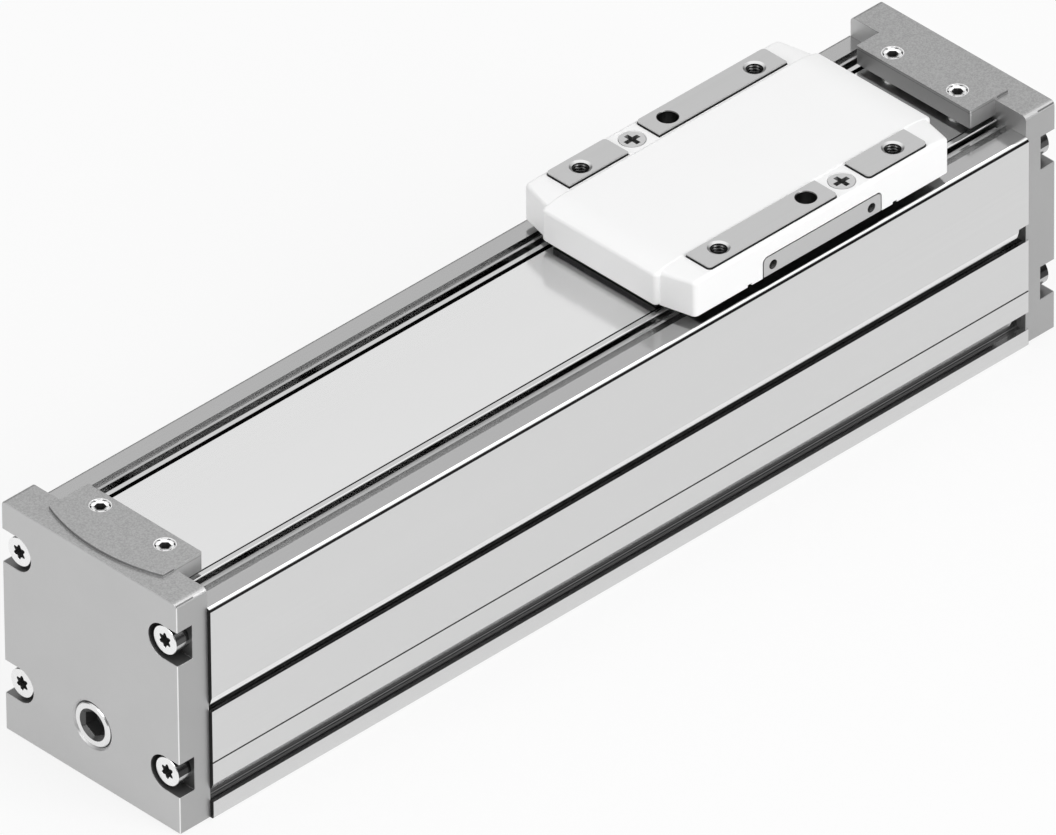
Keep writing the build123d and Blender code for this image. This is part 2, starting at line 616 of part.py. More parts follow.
def rail_half_outline():
    """Half of the rail's section from its foot to its crown, before the ball tracks are ground."""
    half = RAIL_WIDTH / 2
    waist = RAIL_WAIST_WIDTH / 2
    slope = half - waist
    low_shoulder = BALL_TRACK_Z_LOW + 1.6
    high_shoulder = BALL_TRACK_Z_HIGH - 1.6
    crown = RAIL_HEIGHT - high_shoulder
    points = [(0, 0), (half - 0.4, 0), (half, 0.4), (half, RAIL_BASE_HEIGHT), (waist, RAIL_BASE_HEIGHT + 1.2),
              (waist, low_shoulder - slope), (half, low_shoulder), (half, high_shoulder),
              (half - crown, RAIL_HEIGHT), (0, RAIL_HEIGHT)]
    return make_face(Polyline(*points, close=True))


def ball_tracks(radius):
    """Circles at the four ball rows."""
    tracks = Sketch()
    for side in SIDES:
        for height in (BALL_TRACK_Z_LOW, BALL_TRACK_Z_HIGH):
            tracks += Pos(side * BALL_TRACK_Y, height) * Circle(radius)
    return tracks


def make_rail():
    """The profiled guide rail with ball tracks and counterbored screw holes."""
    section = both_sides(rail_half_outline()) - ball_tracks(BALL_RADIUS + TRACK_PLAY)
    half_length = HALF_PROFILE - RAIL_END_GAP
    rail = run(Pos(0, RAIL_FOOT) * section, -half_length, half_length)
    top = RAIL_FOOT + RAIL_HEIGHT
    for x in rail_screw_places():
        rail -= rod_z(RAIL_SCREW_HEAD_RADIUS + BOLT_PLAY, top - RAIL_COUNTERBORE_DEPTH, top + 1, x, 0)
        rail -= rod_z(RAIL_SCREW_SHANK_RADIUS + BOLT_PLAY, RAIL_FOOT - 1, top, x, 0)
    return rail


def make_rail_screws():
    """The cylinder-head screws that hold the rail on the floor."""
    screws = Part()
    seat = RAIL_FOOT + RAIL_HEIGHT - RAIL_COUNTERBORE_DEPTH
    head_top = seat + RAIL_SCREW_HEAD_HEIGHT
    for x in rail_screw_places():
        screw = rod_z(RAIL_SCREW_HEAD_RADIUS, seat, head_top, x, 0)
        screw += rod_z(RAIL_SCREW_SHANK_RADIUS, RAIL_FOOT - RAIL_SCREW_ENGAGEMENT, seat, x, 0)
        screws += screw
    return screws


def make_rail_caps():
    """The flush caps over the rail's counterbores."""
    caps = Part()
    top = RAIL_FOOT + RAIL_HEIGHT
    for x in rail_screw_places():
        caps += rod_z(RAIL_SCREW_HEAD_RADIUS + BOLT_PLAY - THREAD_PLAY, top - RAIL_CAP_THICKNESS, top, x, 0)
    return caps


def make_buffer(side):
    """A near end buffer with its stud in the cap."""
    y = side * BUFFER_SPACING / 2
    tip = -HALF_PROFILE + BUFFER_LENGTH
    buffer = rod_x(BUFFER_RADIUS, -HALF_PROFILE, tip, y, BUFFER_Z)
    nose = buffer.edges().filter_by(GeomType.CIRCLE).sort_by(Axis.X)[-1]
    buffer = chamfer(nose, BUFFER_NOSE)
    return buffer + rod_x(BUFFER_STUD_RADIUS, -HALF_PROFILE - BUFFER_STUD_LENGTH, -HALF_PROFILE, y, BUFFER_Z)


def runner_section(inset, rail_gap):
    """The saddle section of the runner: outer outline less the channel for the rail."""
    half = RUNNER_WIDTH / 2 - inset
    outline = window(-half, half, RUNNER_FOOT_GAP + inset, RUNNER_HEIGHT - inset)
    outline = chamfer(outline.vertices(), RUNNER_CHAMFER)
    channel_half = RAIL_WIDTH / 2 + rail_gap
    roof = RAIL_HEIGHT + max(rail_gap, RUNNER_ROOF_GAP)
    return outline - window(-channel_half, channel_half, 0, roof)


def runner_bolt_places():
    """Centres of the four runner bolts."""
    reach = RUNNER_BOLT_SPACING / 2
    return [(SLIDE_X + end * reach, side * reach) for end in SIDES for side in SIDES]


def make_runner_block():
    """The hardened runner block: ball tracks, return bores and tapped holes."""
    section = runner_section(0, RUNNER_SIDE_GAP) - ball_tracks(BALL_RADIUS + TRACK_PLAY)
    for side in SIDES:
        for height in (BALL_TRACK_Z_LOW, BALL_TRACK_Z_HIGH):
            section -= Pos(side * RETURN_BORE_Y, height) * Circle(RETURN_BORE_RADIUS)
    half = RUNNER_LENGTH / 2
    block = run(Pos(0, RAIL_FOOT) * section, SLIDE_X - half, SLIDE_X + half)
    for x, y in runner_bolt_places():
        block -= rod_z(RUNNER_BOLT_RADIUS + THREAD_PLAY, RUNNER_TOP - RUNNER_BOLT_ENGAGEMENT - 0.5, RUNNER_TOP + 1,
                       x, y)
    for side in SIDES:
        y = side * RETURN_BORE_Y
        z = RAIL_FOOT + SEAL_SCREW_Z
        for end in SIDES:
            face = SLIDE_X + end * half
            deep = face - end * (SEAL_SCREW_ENGAGEMENT + 0.5)
            block -= rod_x(SEAL_SCREW_RADIUS + THREAD_PLAY, min(face, deep), max(face, deep), y, z)
    return block


def make_runner_cap(end):
    """The moulded ball-return cap at one end of the runner."""
    near = SLIDE_X + end * RUNNER_LENGTH / 2
    far = near + end * RUNNER_CAP_LENGTH
    section = Pos(0, RAIL_FOOT) * runner_section(RUNNER_CAP_INSET, RUNNER_SIDE_GAP)
    cap = run(section, min(near, far), max(near, far))
    for side in SIDES:
        cap -= rod_x(SEAL_SCREW_RADIUS + BOLT_PLAY, min(near, far), max(near, far), side * RETURN_BORE_Y,
                     RAIL_FOOT + SEAL_SCREW_Z)
    return cap


def make_runner_seal(end):
    """The end seal, whose lip follows the rail's section."""
    near = SLIDE_X + end * (RUNNER_LENGTH / 2 + RUNNER_CAP_LENGTH)
    far = near + end * RUNNER_SEAL_THICKNESS
    half = RUNNER_WIDTH / 2 - RUNNER_SEAL_INSET
    outline = window(-half, half, RUNNER_FOOT_GAP + RUNNER_SEAL_INSET, RUNNER_HEIGHT - RUNNER_SEAL_INSET)
    outline = chamfer(outline.vertices(), RUNNER_CHAMFER)
    opening = offset(both_sides(rail_half_outline()), RUNNER_SEAL_GAP, kind=Kind.INTERSECTION)
    plate = run(Pos(0, RAIL_FOOT) * (outline - opening), min(near, far), max(near, far))
    for side in SIDES:
        plate -= rod_x(SEAL_SCREW_RADIUS + BOLT_PLAY, min(near, far), max(near, far), side * RETURN_BORE_Y,
                       RAIL_FOOT + SEAL_SCREW_Z)
    return plate


def make_balls():
    """The end balls of the four loaded rows."""
    balls = Part()
    first = SLIDE_X - BALL_PITCH * (BALLS_PER_ROW - 1) / 2
    for side in SIDES:
        for height in (BALL_TRACK_Z_LOW, BALL_TRACK_Z_HIGH):
            for index in range(BALLS_PER_ROW):
                place = Pos(first + BALL_PITCH * index, side * BALL_TRACK_Y, RAIL_FOOT + height)
                balls += place * Sphere(BALL_RADIUS)
    return balls


def make_runner_bolts():
    """The four bolts that hang the runner under the bridge."""
    bolts = Part()
    head_top = BRIDGE_TOP - 0.2
    seat = head_top - RUNNER_BOLT_HEAD_HEIGHT
    for x, y in runner_bolt_places():
        bolt = rod_z(RUNNER_BOLT_HEAD_RADIUS, seat, head_top, x, y)
        bolt += rod_z(RUNNER_BOLT_RADIUS, RUNNER_TOP - RUNNER_BOLT_ENGAGEMENT, seat, x, y)
        bolts += bolt
    return bolts


def make_seal_screws():
    """The small screws that hold the return caps and seals on the runner."""
    screws = Part()
    z = RAIL_FOOT + SEAL_SCREW_Z
    for end in SIDES:
        face = SLIDE_X + end * (RUNNER_LENGTH / 2 + RUNNER_CAP_LENGTH + RUNNER_SEAL_THICKNESS)
        top = face + end * SEAL_SCREW_HEAD_HEIGHT
        tip = SLIDE_X + end * (RUNNER_LENGTH / 2 - SEAL_SCREW_ENGAGEMENT)
        for side in SIDES:
            y = side * RETURN_BORE_Y
            screws += rod_x(SEAL_SCREW_HEAD_RADIUS, min(face, top), max(face, top), y, z)
            screws += rod_x(SEAL_SCREW_RADIUS, min(face, tip), max(face, tip), y, z)
    return screws


def pad_plan(x_low, x_high):
    """Plan of a metal pad on the +Y side, rounded at its two outer corners."""
    plan = window(x_low, x_high, FLANGE_INNER, FLANGE_OUTER)
    outer = plan.vertices().sort_by(Axis.Y)[-2:]
    return fillet(outer, PAD_CORNER_RADIUS)


def pad_pair():
    """The short and the long pad of the +Y side, in plan about the slide's middle."""
    return pad_plan(-PAD_END, -SHORT_PAD_START) + pad_plan(-LONG_PAD_START, PAD_END)


def side_plate():
    """The flat boss with two tapped holes on the +Y flank, about the slide's middle."""
    half = SIDE_PLATE_LENGTH / 2
    plate = slab(-half, half, FLANGE_OUTER - 1, WING_WIDTH / 2, SIDE_PLATE_BOTTOM, SIDE_PLATE_TOP)
    top_corners = plate.edges().filter_by(Axis.Y).group_by(Axis.Z)[-1]
    return fillet(top_corners, SIDE_PLATE_RADIUS)


def flank():
    """One side of the slide body about the slide's middle: leg, flange, pads and side plate."""
    half_leg = LEG_LENGTH / 2
    leg = slab(-half_leg, half_leg, LEG_INNER, LEG_OUTER, BRIDGE_TOP - 1, BODY_BOTTOM + 1)
    flange = slab(-half_leg, half_leg, FLANGE_INNER, FLANGE_OUTER, BODY_BOTTOM, BODY_TOP)
    pads = extrude(Plane.XY.offset(BODY_TOP - 1) * pad_pair(), amount=PAD_HEIGHT + 1)
    side = leg + flange + pads + side_plate()
    for x in (-THREAD_HOLE_X, THREAD_HOLE_X):
        side -= rod_z(THREAD_HOLE_RADIUS, PAD_TOP - THREAD_HOLE_DEPTH, PAD_TOP + 1, x, PAD_HOLE_Y)
        side -= cone_z(THREAD_HOLE_RADIUS, THREAD_HOLE_RADIUS + HOLE_CHAMFER, PAD_TOP - COUNTERSINK_DEPTH, PAD_TOP,
                       x, PAD_HOLE_Y)
    side -= rod_z(CENTRING_HOLE_RADIUS, PAD_TOP - CENTRING_HOLE_DEPTH, PAD_TOP + 1, 0, PAD_HOLE_Y)
    side -= cone_z(CENTRING_HOLE_RADIUS, CENTRING_HOLE_RADIUS + CENTRING_CHAMFER, PAD_TOP - CENTRING_CHAMFER,
                   PAD_TOP, 0, PAD_HOLE_Y)
    side -= rod_z(COVER_SCREW_RADIUS + THREAD_PLAY, WING_TOP - COVER_SCREW_LENGTH - 0.5, BODY_TOP + 1,
                  -COVER_SCREW_X, COVER_SCREW_Y)
    for x in (-SIDE_HOLE_SPACING / 2, SIDE_HOLE_SPACING / 2):
        side -= rod_y(SIDE_HOLE_RADIUS, WING_WIDTH / 2 + 1, WING_WIDTH / 2 - SIDE_HOLE_DEPTH, x, SIDE_HOLE_Z)
    return side


def make_slide_body():
    """The slide body: a bridge under the carrier with a flank through each slot."""
    half = BRIDGE_LENGTH / 2
    bridge = slab(-half, half, -LEG_OUTER, LEG_OUTER, RUNNER_TOP, BRIDGE_TOP)
    bridge = chamfer(bridge.edges().filter_by(Axis.Y), 1.0)
    body = bridge + flank() + far_end(flank())
    body = Pos(SLIDE_X, 0, 0) * body
    seat = BRIDGE_TOP - 0.2 - RUNNER_BOLT_HEAD_HEIGHT
    for x, y in runner_bolt_places():
        body -= rod_z(RUNNER_BOLT_HEAD_RADIUS + BOLT_PLAY, seat, BRIDGE_TOP + 1, x, y)
        body -= rod_z(RUNNER_BOLT_RADIUS + BOLT_PLAY, RUNNER_TOP - 1, seat + 1, x, y)
    return body


def crown_waste(top):
    """What lies above the cover where its top falls away in an arc towards both ends."""
    half_width = WING_WIDTH / 2 + 1
    waste = slab(CROWN_START, BLOCK_LENGTH / 2 + 1, -half_width, half_width, top - CROWN_RADIUS, top + 1)
    waste -= rod_y(CROWN_RADIUS, -half_width - 1, half_width + 1, CROWN_START, top - CROWN_RADIUS)
    return waste + far_end(waste)


def cover_shell():
    """The outer form of the cover: two wings with swept ends and the raised middle block."""
    inner = BLOCK_WIDTH / 2
    outer = WING_WIDTH / 2
    x_in = WING_LENGTH_IN / 2
    x_out = WING_LENGTH_OUT / 2
    quarter = [(x_in, inner), (x_out, outer), (-x_out, outer), (-x_in, inner)]
    points = quarter + [(-x, -y) for x, y in quarter]
    wings = extrude(Plane.XY.offset(COVER_BOTTOM) * make_face(Polyline(*points, close=True)),
                    amount=WING_TOP - COVER_BOTTOM)
    wings -= crown_waste(WING_TOP)
    corners = wings.edges().filter_by(Axis.Z).filter_by(lambda edge: abs(edge.center().Y) > inner + 1)
    wings = fillet(corners, WING_EDGE_RADIUS)
    rims = wings.edges().filter_by(lambda edge: abs(edge.center().Y) > outer - 0.01)
    rims = rims.filter_by(lambda edge: edge.center().Z > WING_TOP - WING_EDGE_RADIUS)
    wings = fillet(rims, WING_EDGE_RADIUS * 0.8)
    height = WING_TOP + BLOCK_RISE - COVER_BOTTOM
    block = extrude(Plane.XY.offset(COVER_BOTTOM) * Rectangle(BLOCK_LENGTH, BLOCK_WIDTH), amount=height)
    block -= crown_waste(WING_TOP + BLOCK_RISE)
    block = fillet(block.edges().filter_by(Axis.Z), BLOCK_EDGE_RADIUS)
    ends = block.edges().filter_by(Axis.Y).filter_by(lambda edge: edge.center().Z > WING_TOP - CROWN_RADIUS / 2)
    ends = ends.filter_by(lambda edge: abs(edge.center().X) > BLOCK_LENGTH / 2 - 0.01)
    return wings + fillet(ends, BLOCK_EDGE_RADIUS * 0.7)


def cover_side_cuts():
    """What the cover leaves free on the +Y side: flange, pads, side plate and screw hole."""
    half_leg = LEG_LENGTH / 2 + COVER_PLAY
    cuts = slab(-half_leg, half_leg, BLOCK_WIDTH / 2, FLANGE_OUTER + COVER_PLAY, COVER_BOTTOM - 1, BODY_TOP)
    pads = offset(pad_pair(), COVER_PLAY, kind=Kind.INTERSECTION)
    pads &= window(-half_leg, half_leg, BLOCK_WIDTH / 2, WING_WIDTH)
    cuts += extrude(Plane.XY.offset(BODY_TOP - 1) * pads, amount=PAD_HEIGHT + 1)
    half_plate = SIDE_PLATE_LENGTH / 2 + SIDE_PLATE_PLAY
    plate = slab(-half_plate, half_plate, FLANGE_OUTER, WING_WIDTH / 2 + 1, COVER_BOTTOM - 1,
                 SIDE_PLATE_TOP + SIDE_PLATE_PLAY)
    corners = plate.edges().filter_by(Axis.Y).group_by(Axis.Z)[-1]
    cuts += fillet(corners, SIDE_PLATE_RADIUS + SIDE_PLATE_PLAY)
    for x in (-COVER_NOTCH_X, COVER_NOTCH_X):
        half_notch = COVER_NOTCH_WIDTH / 2
        cuts += slab(x - half_notch, x + half_notch, FLANGE_OUTER, WING_WIDTH / 2 + 1, COVER_BOTTOM - 1,
                     COVER_BOTTOM + COVER_NOTCH_HEIGHT)
    cuts += rod_z(COVER_SCREW_RADIUS + BOLT_PLAY, BODY_TOP - 1, WING_TOP + 1, -COVER_SCREW_X, COVER_SCREW_Y)
    sink = COVER_SCREW_HEAD_RADIUS - COVER_SCREW_RADIUS
    head_top = WING_TOP - COVER_SCREW_SUNK
    cuts += cone_z(COVER_SCREW_RADIUS + COVER_PLAY, COVER_SCREW_HEAD_RADIUS + COVER_PLAY, head_top - sink, head_top,
                   -COVER_SCREW_X, COVER_SCREW_Y)
    cuts += rod_z(COVER_SCREW_HEAD_RADIUS + COVER_PLAY, head_top, WING_TOP + 1, -COVER_SCREW_X, COVER_SCREW_Y)
    return cuts


def wiper_room(play):
    """Plan length and width of a band wiper, with play around it."""
    outer = BLOCK_LENGTH / 2 - COVER_WALL
    half_width = BLOCK_WIDTH / 2 - COVER_WALL
    return outer - WIPER_THICKNESS - play, outer + play, half_width + play


def make_slide_cover():
    """The moulded white cover."""
    cover = cover_shell() - cover_side_cuts() - far_end(cover_side_cuts())
    wiper_inner = wiper_room(0)[0]
    hollow_half = wiper_inner - COVER_WALL
    half_width = BLOCK_WIDTH / 2 - COVER_WALL
    cover -= slab(-hollow_half, hollow_half, -half_width, half_width, COVER_BOTTOM - 1, BODY_TOP)
    for end in SIDES:
        x_low, x_high, y_half = wiper_room(WIPER_PLAY)
        top = BAND_TOP + WIPER_BAND_GAP + WIPER_HEIGHT
        pocket = slab(x_low, x_high, -y_half, y_half, COVER_BOTTOM - 1, top)
        cover -= pocket if end > 0 else far_end(pocket)
    return Pos(SLIDE_X, 0, 0) * cover


def make_cover_screws():
    """The two countersunk cross-recess screws of the cover."""
    top = WING_TOP - COVER_SCREW_SUNK
    sink = COVER_SCREW_HEAD_RADIUS - COVER_SCREW_RADIUS
    screw = cone_z(COVER_SCREW_RADIUS, COVER_SCREW_HEAD_RADIUS, top - sink, top, -COVER_SCREW_X, COVER_SCREW_Y)
    screw += rod_z(COVER_SCREW_RADIUS, WING_TOP - COVER_SCREW_LENGTH, top - sink, -COVER_SCREW_X, COVER_SCREW_Y)
    cross = Rectangle(CROSS_LENGTH, CROSS_WIDTH) + Rectangle(CROSS_WIDTH, CROSS_LENGTH)
    recess = extrude(Plane.XY.offset(top) * Pos(-COVER_SCREW_X, COVER_SCREW_Y) * cross, amount=-CROSS_DEPTH,
                     taper=12)
    screw -= recess
    return Pos(SLIDE_X, 0, 0) * (screw + far_end(screw))


def make_wiper(end):
    """The wiper strip that sits in the cover just above the band."""
    x_low, x_high, y_half = wiper_room(0)
    low = BAND_TOP + WIPER_BAND_GAP
    wiper = slab(x_low, x_high, -y_half, y_half, low, low + WIPER_HEIGHT)
    return Pos(SLIDE_X, 0, 0) * (wiper if end > 0 else far_end(wiper))


def make_nodes():
    """Every piece of the axis by its name."""
    cap = make_near_cap()
    cap_screws = make_cap_screws()
    clamp_screws = make_clamp_screws()
    plug = make_port_plug()
    seal = make_port_seal()
    left_buffer = make_buffer(1)
    right_buffer = make_buffer(-1)
    return {
        "profile": make_profile(),
        "band_carrier": make_carrier(),
        "cover_band": make_band(),
        "end_cap_near": cap,
        "end_cap_far": far_end(cap),
        "cap_screws_near": cap_screws,
        "cap_screws_far": far_end(cap_screws),
        "band_clamp_screws_near": clamp_screws,
        "band_clamp_screws_far": far_end(clamp_screws),
        "port_plug_near": plug,
        "port_plug_far": far_end(plug),
        "port_seal_near": seal,
        "port_seal_far": far_end(seal),
        "guide_rail": make_rail(),
        "rail_screws": make_rail_screws(),
        "rail_hole_caps": make_rail_caps(),
        "buffer_near_left": left_buffer,
        "buffer_near_right": right_buffer,
        "buffer_far_left": far_end(right_buffer),
        "buffer_far_right": far_end(left_buffer),
        "slide_body": make_slide_body(),
        "slide_cover": make_slide_cover(),
        "cover_screws": make_cover_screws(),
        "band_wiper_front": make_wiper(-1),
        "band_wiper_rear": make_wiper(1),
        "runner_block": make_runner_block(),
        "runner_end_cap_front": make_runner_cap(-1),
        "runner_end_cap_rear": make_runner_cap(1),
        "runner_seal_front": make_runner_seal(-1),
        "runner_seal_rear": make_runner_seal(1),
        "runner_balls": make_balls(),
        "runner_screws": make_runner_bolts(),
        "runner_cap_screws": make_seal_screws(),
    }


os.makedirs("parts", exist_ok=True)
for name, shape in make_nodes().items():
    export_step(shape, os.path.join("parts", name + ".step"))
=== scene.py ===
"""Looks of a passive guide axis: finishes, fine screw detail, thread surfaces, studio and camera."""

import logging
import math
from collections.abc import Mapping, Sequence
from dataclasses import dataclass
from enum import Enum

import bmesh
import bpy
import numpy as np
from mathutils import Matrix, Vector


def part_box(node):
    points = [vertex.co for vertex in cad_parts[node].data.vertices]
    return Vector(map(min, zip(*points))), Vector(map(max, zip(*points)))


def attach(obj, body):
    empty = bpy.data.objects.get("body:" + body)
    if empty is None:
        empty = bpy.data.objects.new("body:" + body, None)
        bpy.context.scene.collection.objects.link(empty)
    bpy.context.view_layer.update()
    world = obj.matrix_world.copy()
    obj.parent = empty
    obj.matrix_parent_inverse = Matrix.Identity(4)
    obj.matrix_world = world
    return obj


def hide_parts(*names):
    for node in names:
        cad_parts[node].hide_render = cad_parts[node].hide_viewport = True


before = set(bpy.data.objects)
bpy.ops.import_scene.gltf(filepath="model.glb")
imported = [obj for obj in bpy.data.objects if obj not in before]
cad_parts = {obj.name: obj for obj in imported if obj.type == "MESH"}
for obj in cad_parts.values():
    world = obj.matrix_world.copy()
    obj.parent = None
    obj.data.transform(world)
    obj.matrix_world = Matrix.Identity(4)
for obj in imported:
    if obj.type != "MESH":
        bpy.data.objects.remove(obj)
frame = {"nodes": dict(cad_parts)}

LOG = logging.getLogger("guide_axis")
MM = 0.001
SEAM_GAP = 2e-7
CAD_SEAM_GAP = 2e-6
COPLANAR_DEGREES = 0.6
ROUNDING_SEGMENTS = 2
NORMAL_WEIGHT = 100
SMALLEST_SINE = 1e-6
ANGLE_DIGITS = 6


class Body(Enum):
    """The two bodies that a piece can ride on."""

    HOUSING = "housing"
    SLIDE = "slide"


class Side(Enum):
    """The two long sides of the axis, as the sign of Y."""

    RIGHT = -1
    LEFT = 1


class End(Enum):
    """The two ends of the axis, as the sign of X."""

    NEAR = -1
    FAR = 1


# Shader building


class Wire:
    """One output socket, with arithmetic that adds Math nodes."""

    def __init__(self, graph: "Graph", socket: bpy.types.NodeSocket) -> None:
        """Keeps the socket and the graph it belongs to."""
        self.graph = graph
        self.socket = socket

    def math(self, operation: str, *values: "Wire | float") -> "Wire":
        """Adds one Math node.

        Args:
            operation: the Math node's operation.
            values: its inputs, in order.

        Returns:
            The node's value.
        """
        return self.graph.node("ShaderNodeMath", {"operation": operation}, dict(enumerate(values)))

    def __add__(self, other: "Wire | float") -> "Wire":
        """Sum."""
        return self.math("ADD", self, other)

    __radd__ = __add__

    def __sub__(self, other: "Wire | float") -> "Wire":
        """Difference."""
        return self.math("SUBTRACT", self, other)

    def __rsub__(self, other: float) -> "Wire":
        """Difference with a number on the left."""
        return self.math("SUBTRACT", other, self)

    def __mul__(self, other: "Wire | float") -> "Wire":
        """Product."""
        return self.math("MULTIPLY", self, other)

    def rise(self, low: float, high: float) -> "Wire":
        """Climbs smoothly from 0 at low to 1 at high.

        Args:
            low: where the climb starts.
            high: where it ends.

        Returns:
            The climbing value.
        """
        values = {"Value": self, "From Min": low, "From Max": high}
        return self.graph.node("ShaderNodeMapRange", {"interpolation_type": "SMOOTHSTEP"}, values)


class Graph:
    """One node tree."""

    def __init__(self, tree: bpy.types.NodeTree) -> None:
        """Keeps the tree."""
        self.tree = tree

    def node(self, kind: str, settings: Mapping[str, object], values: Mapping[int | str, object],
             output: int | str = 0) -> Wire:
        """Adds one node.

        Args:
            kind: the node's type.
            settings: its own settings, which are set first; stops are a ramp's (place, grey) pairs.
            values: numbers, tuples or wires for its sockets, by name or index.
            output: the output that is used.

        Returns:
            That output.
        """
        node = self.tree.nodes.new(kind)
        for key, value in settings.items():
            if key == "stops":
                fill_ramp(node.color_ramp, value)
            else:
                setattr(node, key, value)
        for key, value in values.items():
            if isinstance(value, Wire):
                self.tree.links.new(value.socket, node.inputs[key])
            else:
                node.inputs[key].default_value = value
        return Wire(self, node.outputs[output])

    def place(self) -> Wire:
        """The point on the object, in metres."""
        return self.node("ShaderNodeTexCoord", {}, {}, "Object")

    def along(self, axis: str, point: Wire | None = None) -> Wire:
        """One coordinate of a point.

        Args:
            axis: X, Y or Z.
            point: the point, or None for the one on the object.

        Returns:
            The coordinate.
        """
        return self.node("ShaderNodeSeparateXYZ", {}, {0: point or self.place()}, axis)

    def stretched(self, scale: tuple[float, float, float]) -> Wire:
        """The point on the object, scaled along each axis.

        Args:
            scale: factors along X, Y and Z.

        Returns:
            The scaled point.
        """
        return self.node("ShaderNodeMapping", {}, {"Vector": self.place(), "Scale": scale})

    def noise(self, scale: tuple[float, float, float], detail: float = 3.0, roughness: float = 0.5) -> Wire:
        """Smooth noise from 0 to 1.

        Args:
            scale: cells per metre along X, Y and Z.
            detail: octaves.
            roughness: how strong the fine octaves are.

        Returns:
            The noise.
        """
        values = {"Vector": self.stretched(scale), "Scale": 1.0, "Detail": detail, "Roughness": roughness}
        return self.node("ShaderNodeTexNoise", {}, values)

    def blend(self, factor: Wire, low: Wire | Sequence[float], high: Wire | Sequence[float]) -> Wire:
        """Mixes two colours.

        Args:
            factor: 0 gives low and 1 gives high.
            low: a colour's wire, or its red, green and blue.
            high: a colour's wire, or its red, green and blue.

        Returns:
            The mixed colour.
        """
        low, high = (part if isinstance(part, Wire) else (*part, 1.0) for part in (low, high))
        return self.node("ShaderNodeMix", {"data_type": "RGBA"}, {0: factor, 6: low, 7: high}, 2)

    def shaded(self, colour: Wire, share: Wire) -> Wire:
        """A colour times a share."""
        settings = {"data_type": "RGBA", "blend_type": "MULTIPLY"}
        return self.node("ShaderNodeMix", settings, {0: 1.0, 6: colour, 7: share}, 2)

    def zoned(self, colour: Wire, zones: Sequence["Zone"]) -> Wire:
        """A colour whose tone changes by the share of each zone, inside it.

        Args:
            colour: the colour outside every zone.
            zones: the zones; where two overlap, both shares count.

        Returns:
            The changed colour.
        """
        for zone in zones:
            colour = self.shaded(colour, zone.factor(self))
        return colour

    def varied(self, factor: Wire, tone: float, spread: float) -> Wire:
        """A grey that runs from the tone less a share of it to the tone plus that share.

        Args:
            factor: 0 gives the darkest grey and 1 the brightest.
            tone: the middle grey.
            spread: the share.

        Returns:
            The grey.
        """
        return self.blend(factor, grey(tone * (1 - spread)), grey(tone * (1 + spread)))

    def roughened(self, factor: Wire, roughness: float, spread: float) -> Wire:
        """A roughness that runs over a spread, half of it below its middle and half above.

        Args:
            factor: 0 gives the smoothest and 1 the roughest.
            roughness: the middle.
            spread: how far apart the two are.

        Returns:
            The roughness.
        """
        return factor * spread + (roughness - spread / 2)

    def bump(self, height: Wire, strength: float, distance: float) -> Wire:
        """A normal bent by a height.

        Args:
            height: the height, 0 to 1.
            strength: how far the normal follows it.
            distance: what a height of 1 measures, in metres.

        Returns:
            The normal.
        """
        return self.node("ShaderNodeBump", {}, {"Height": height, "Strength": strength, "Distance": distance})


class Paint(Graph):
    """The node tree of one material with a Principled shader."""

    def __init__(self, name: str) -> None:
        """Makes the material.

        Args:
            name: the material's name.
        """
        self.material = bpy.data.materials.new(name)
        self.material.use_nodes = True
        super().__init__(self.material.node_tree)
        self.shader = self.tree.nodes["Principled BSDF"]

    def finish(self, **sockets: object) -> bpy.types.Material:
        """Sets the Principled shader's sockets.

        Args:
            sockets: values or wires by the socket's name, with underscores for spaces.

        Returns:
            The finished material.
        """
        for key, value in sockets.items():
            socket = self.shader.inputs[key.replace("_", " ")]
            if isinstance(value, Wire):
                self.tree.links.new(value.socket, socket)
            else:
                socket.default_value = value
        return self.material


def fill_ramp(ramp: bpy.types.ColorRamp, stops: Sequence[tuple[float, float]]) -> None:
    """Gives a ramp its grey stops.

    Args:
        ramp: a new ramp with two stops.
        stops: place and grey of each stop.
    """
    while len(ramp.elements) < len(stops):
        ramp.elements.new(0.5)
    for element, (position, tone) in zip(ramp.elements, stops):
        element.position = position
        element.color = (*grey(tone), 1.0)


def grey(value: float) -> tuple[float, float, float]:
    """A neutral colour."""
    return (value, value, value)


# Finishes


@dataclass(frozen=True)
class Span:
    """A stretch along one axis, in metres; a mirrored one counts on both sides of zero."""

    axis: str
    low: float
    high: float
    mirrored: bool = False
    edge: float = 2e-5

    def mask(self, graph: Graph) -> Wire:
        """1 inside the stretch and 0 outside."""
        place = graph.along(self.axis)
        if self.mirrored:
            place = place.math("ABSOLUTE", place)
        return place.rise(self.low - self.edge, self.low) * (1 - place.rise(self.high, self.high + self.edge))


@dataclass(frozen=True)
class Disc:
    """The inside of an upright cylinder, in metres, mirrored to both ends and both sides."""

    x: float
    y: float
    radius: float
    edge: float = 2e-5

    def mask(self, graph: Graph) -> Wire:
        """1 inside the cylinder and 0 outside."""
        ends, sides = (graph.along(axis) for axis in "XY")
        ends = ends.math("ABSOLUTE", ends) - self.x
        sides = sides.math("ABSOLUTE", sides) - self.y
        square = ends * ends + sides * sides
        return 1 - square.math("SQRT", square).rise(self.radius, self.radius + self.edge)


@dataclass(frozen=True)
class Zone:
    """The part of a surface inside every one of its spans, where the tone is multiplied by a share."""

    spans: tuple[Span | Disc, ...]
    share: float

    def factor(self, graph: Graph) -> Wire:
        """The share inside and 1 outside; a share above 1 brightens."""
        mask = math.prod((span.mask(graph) for span in self.spans[1:]), start=self.spans[0].mask(graph))
        return 1 - mask * (1 - self.share)


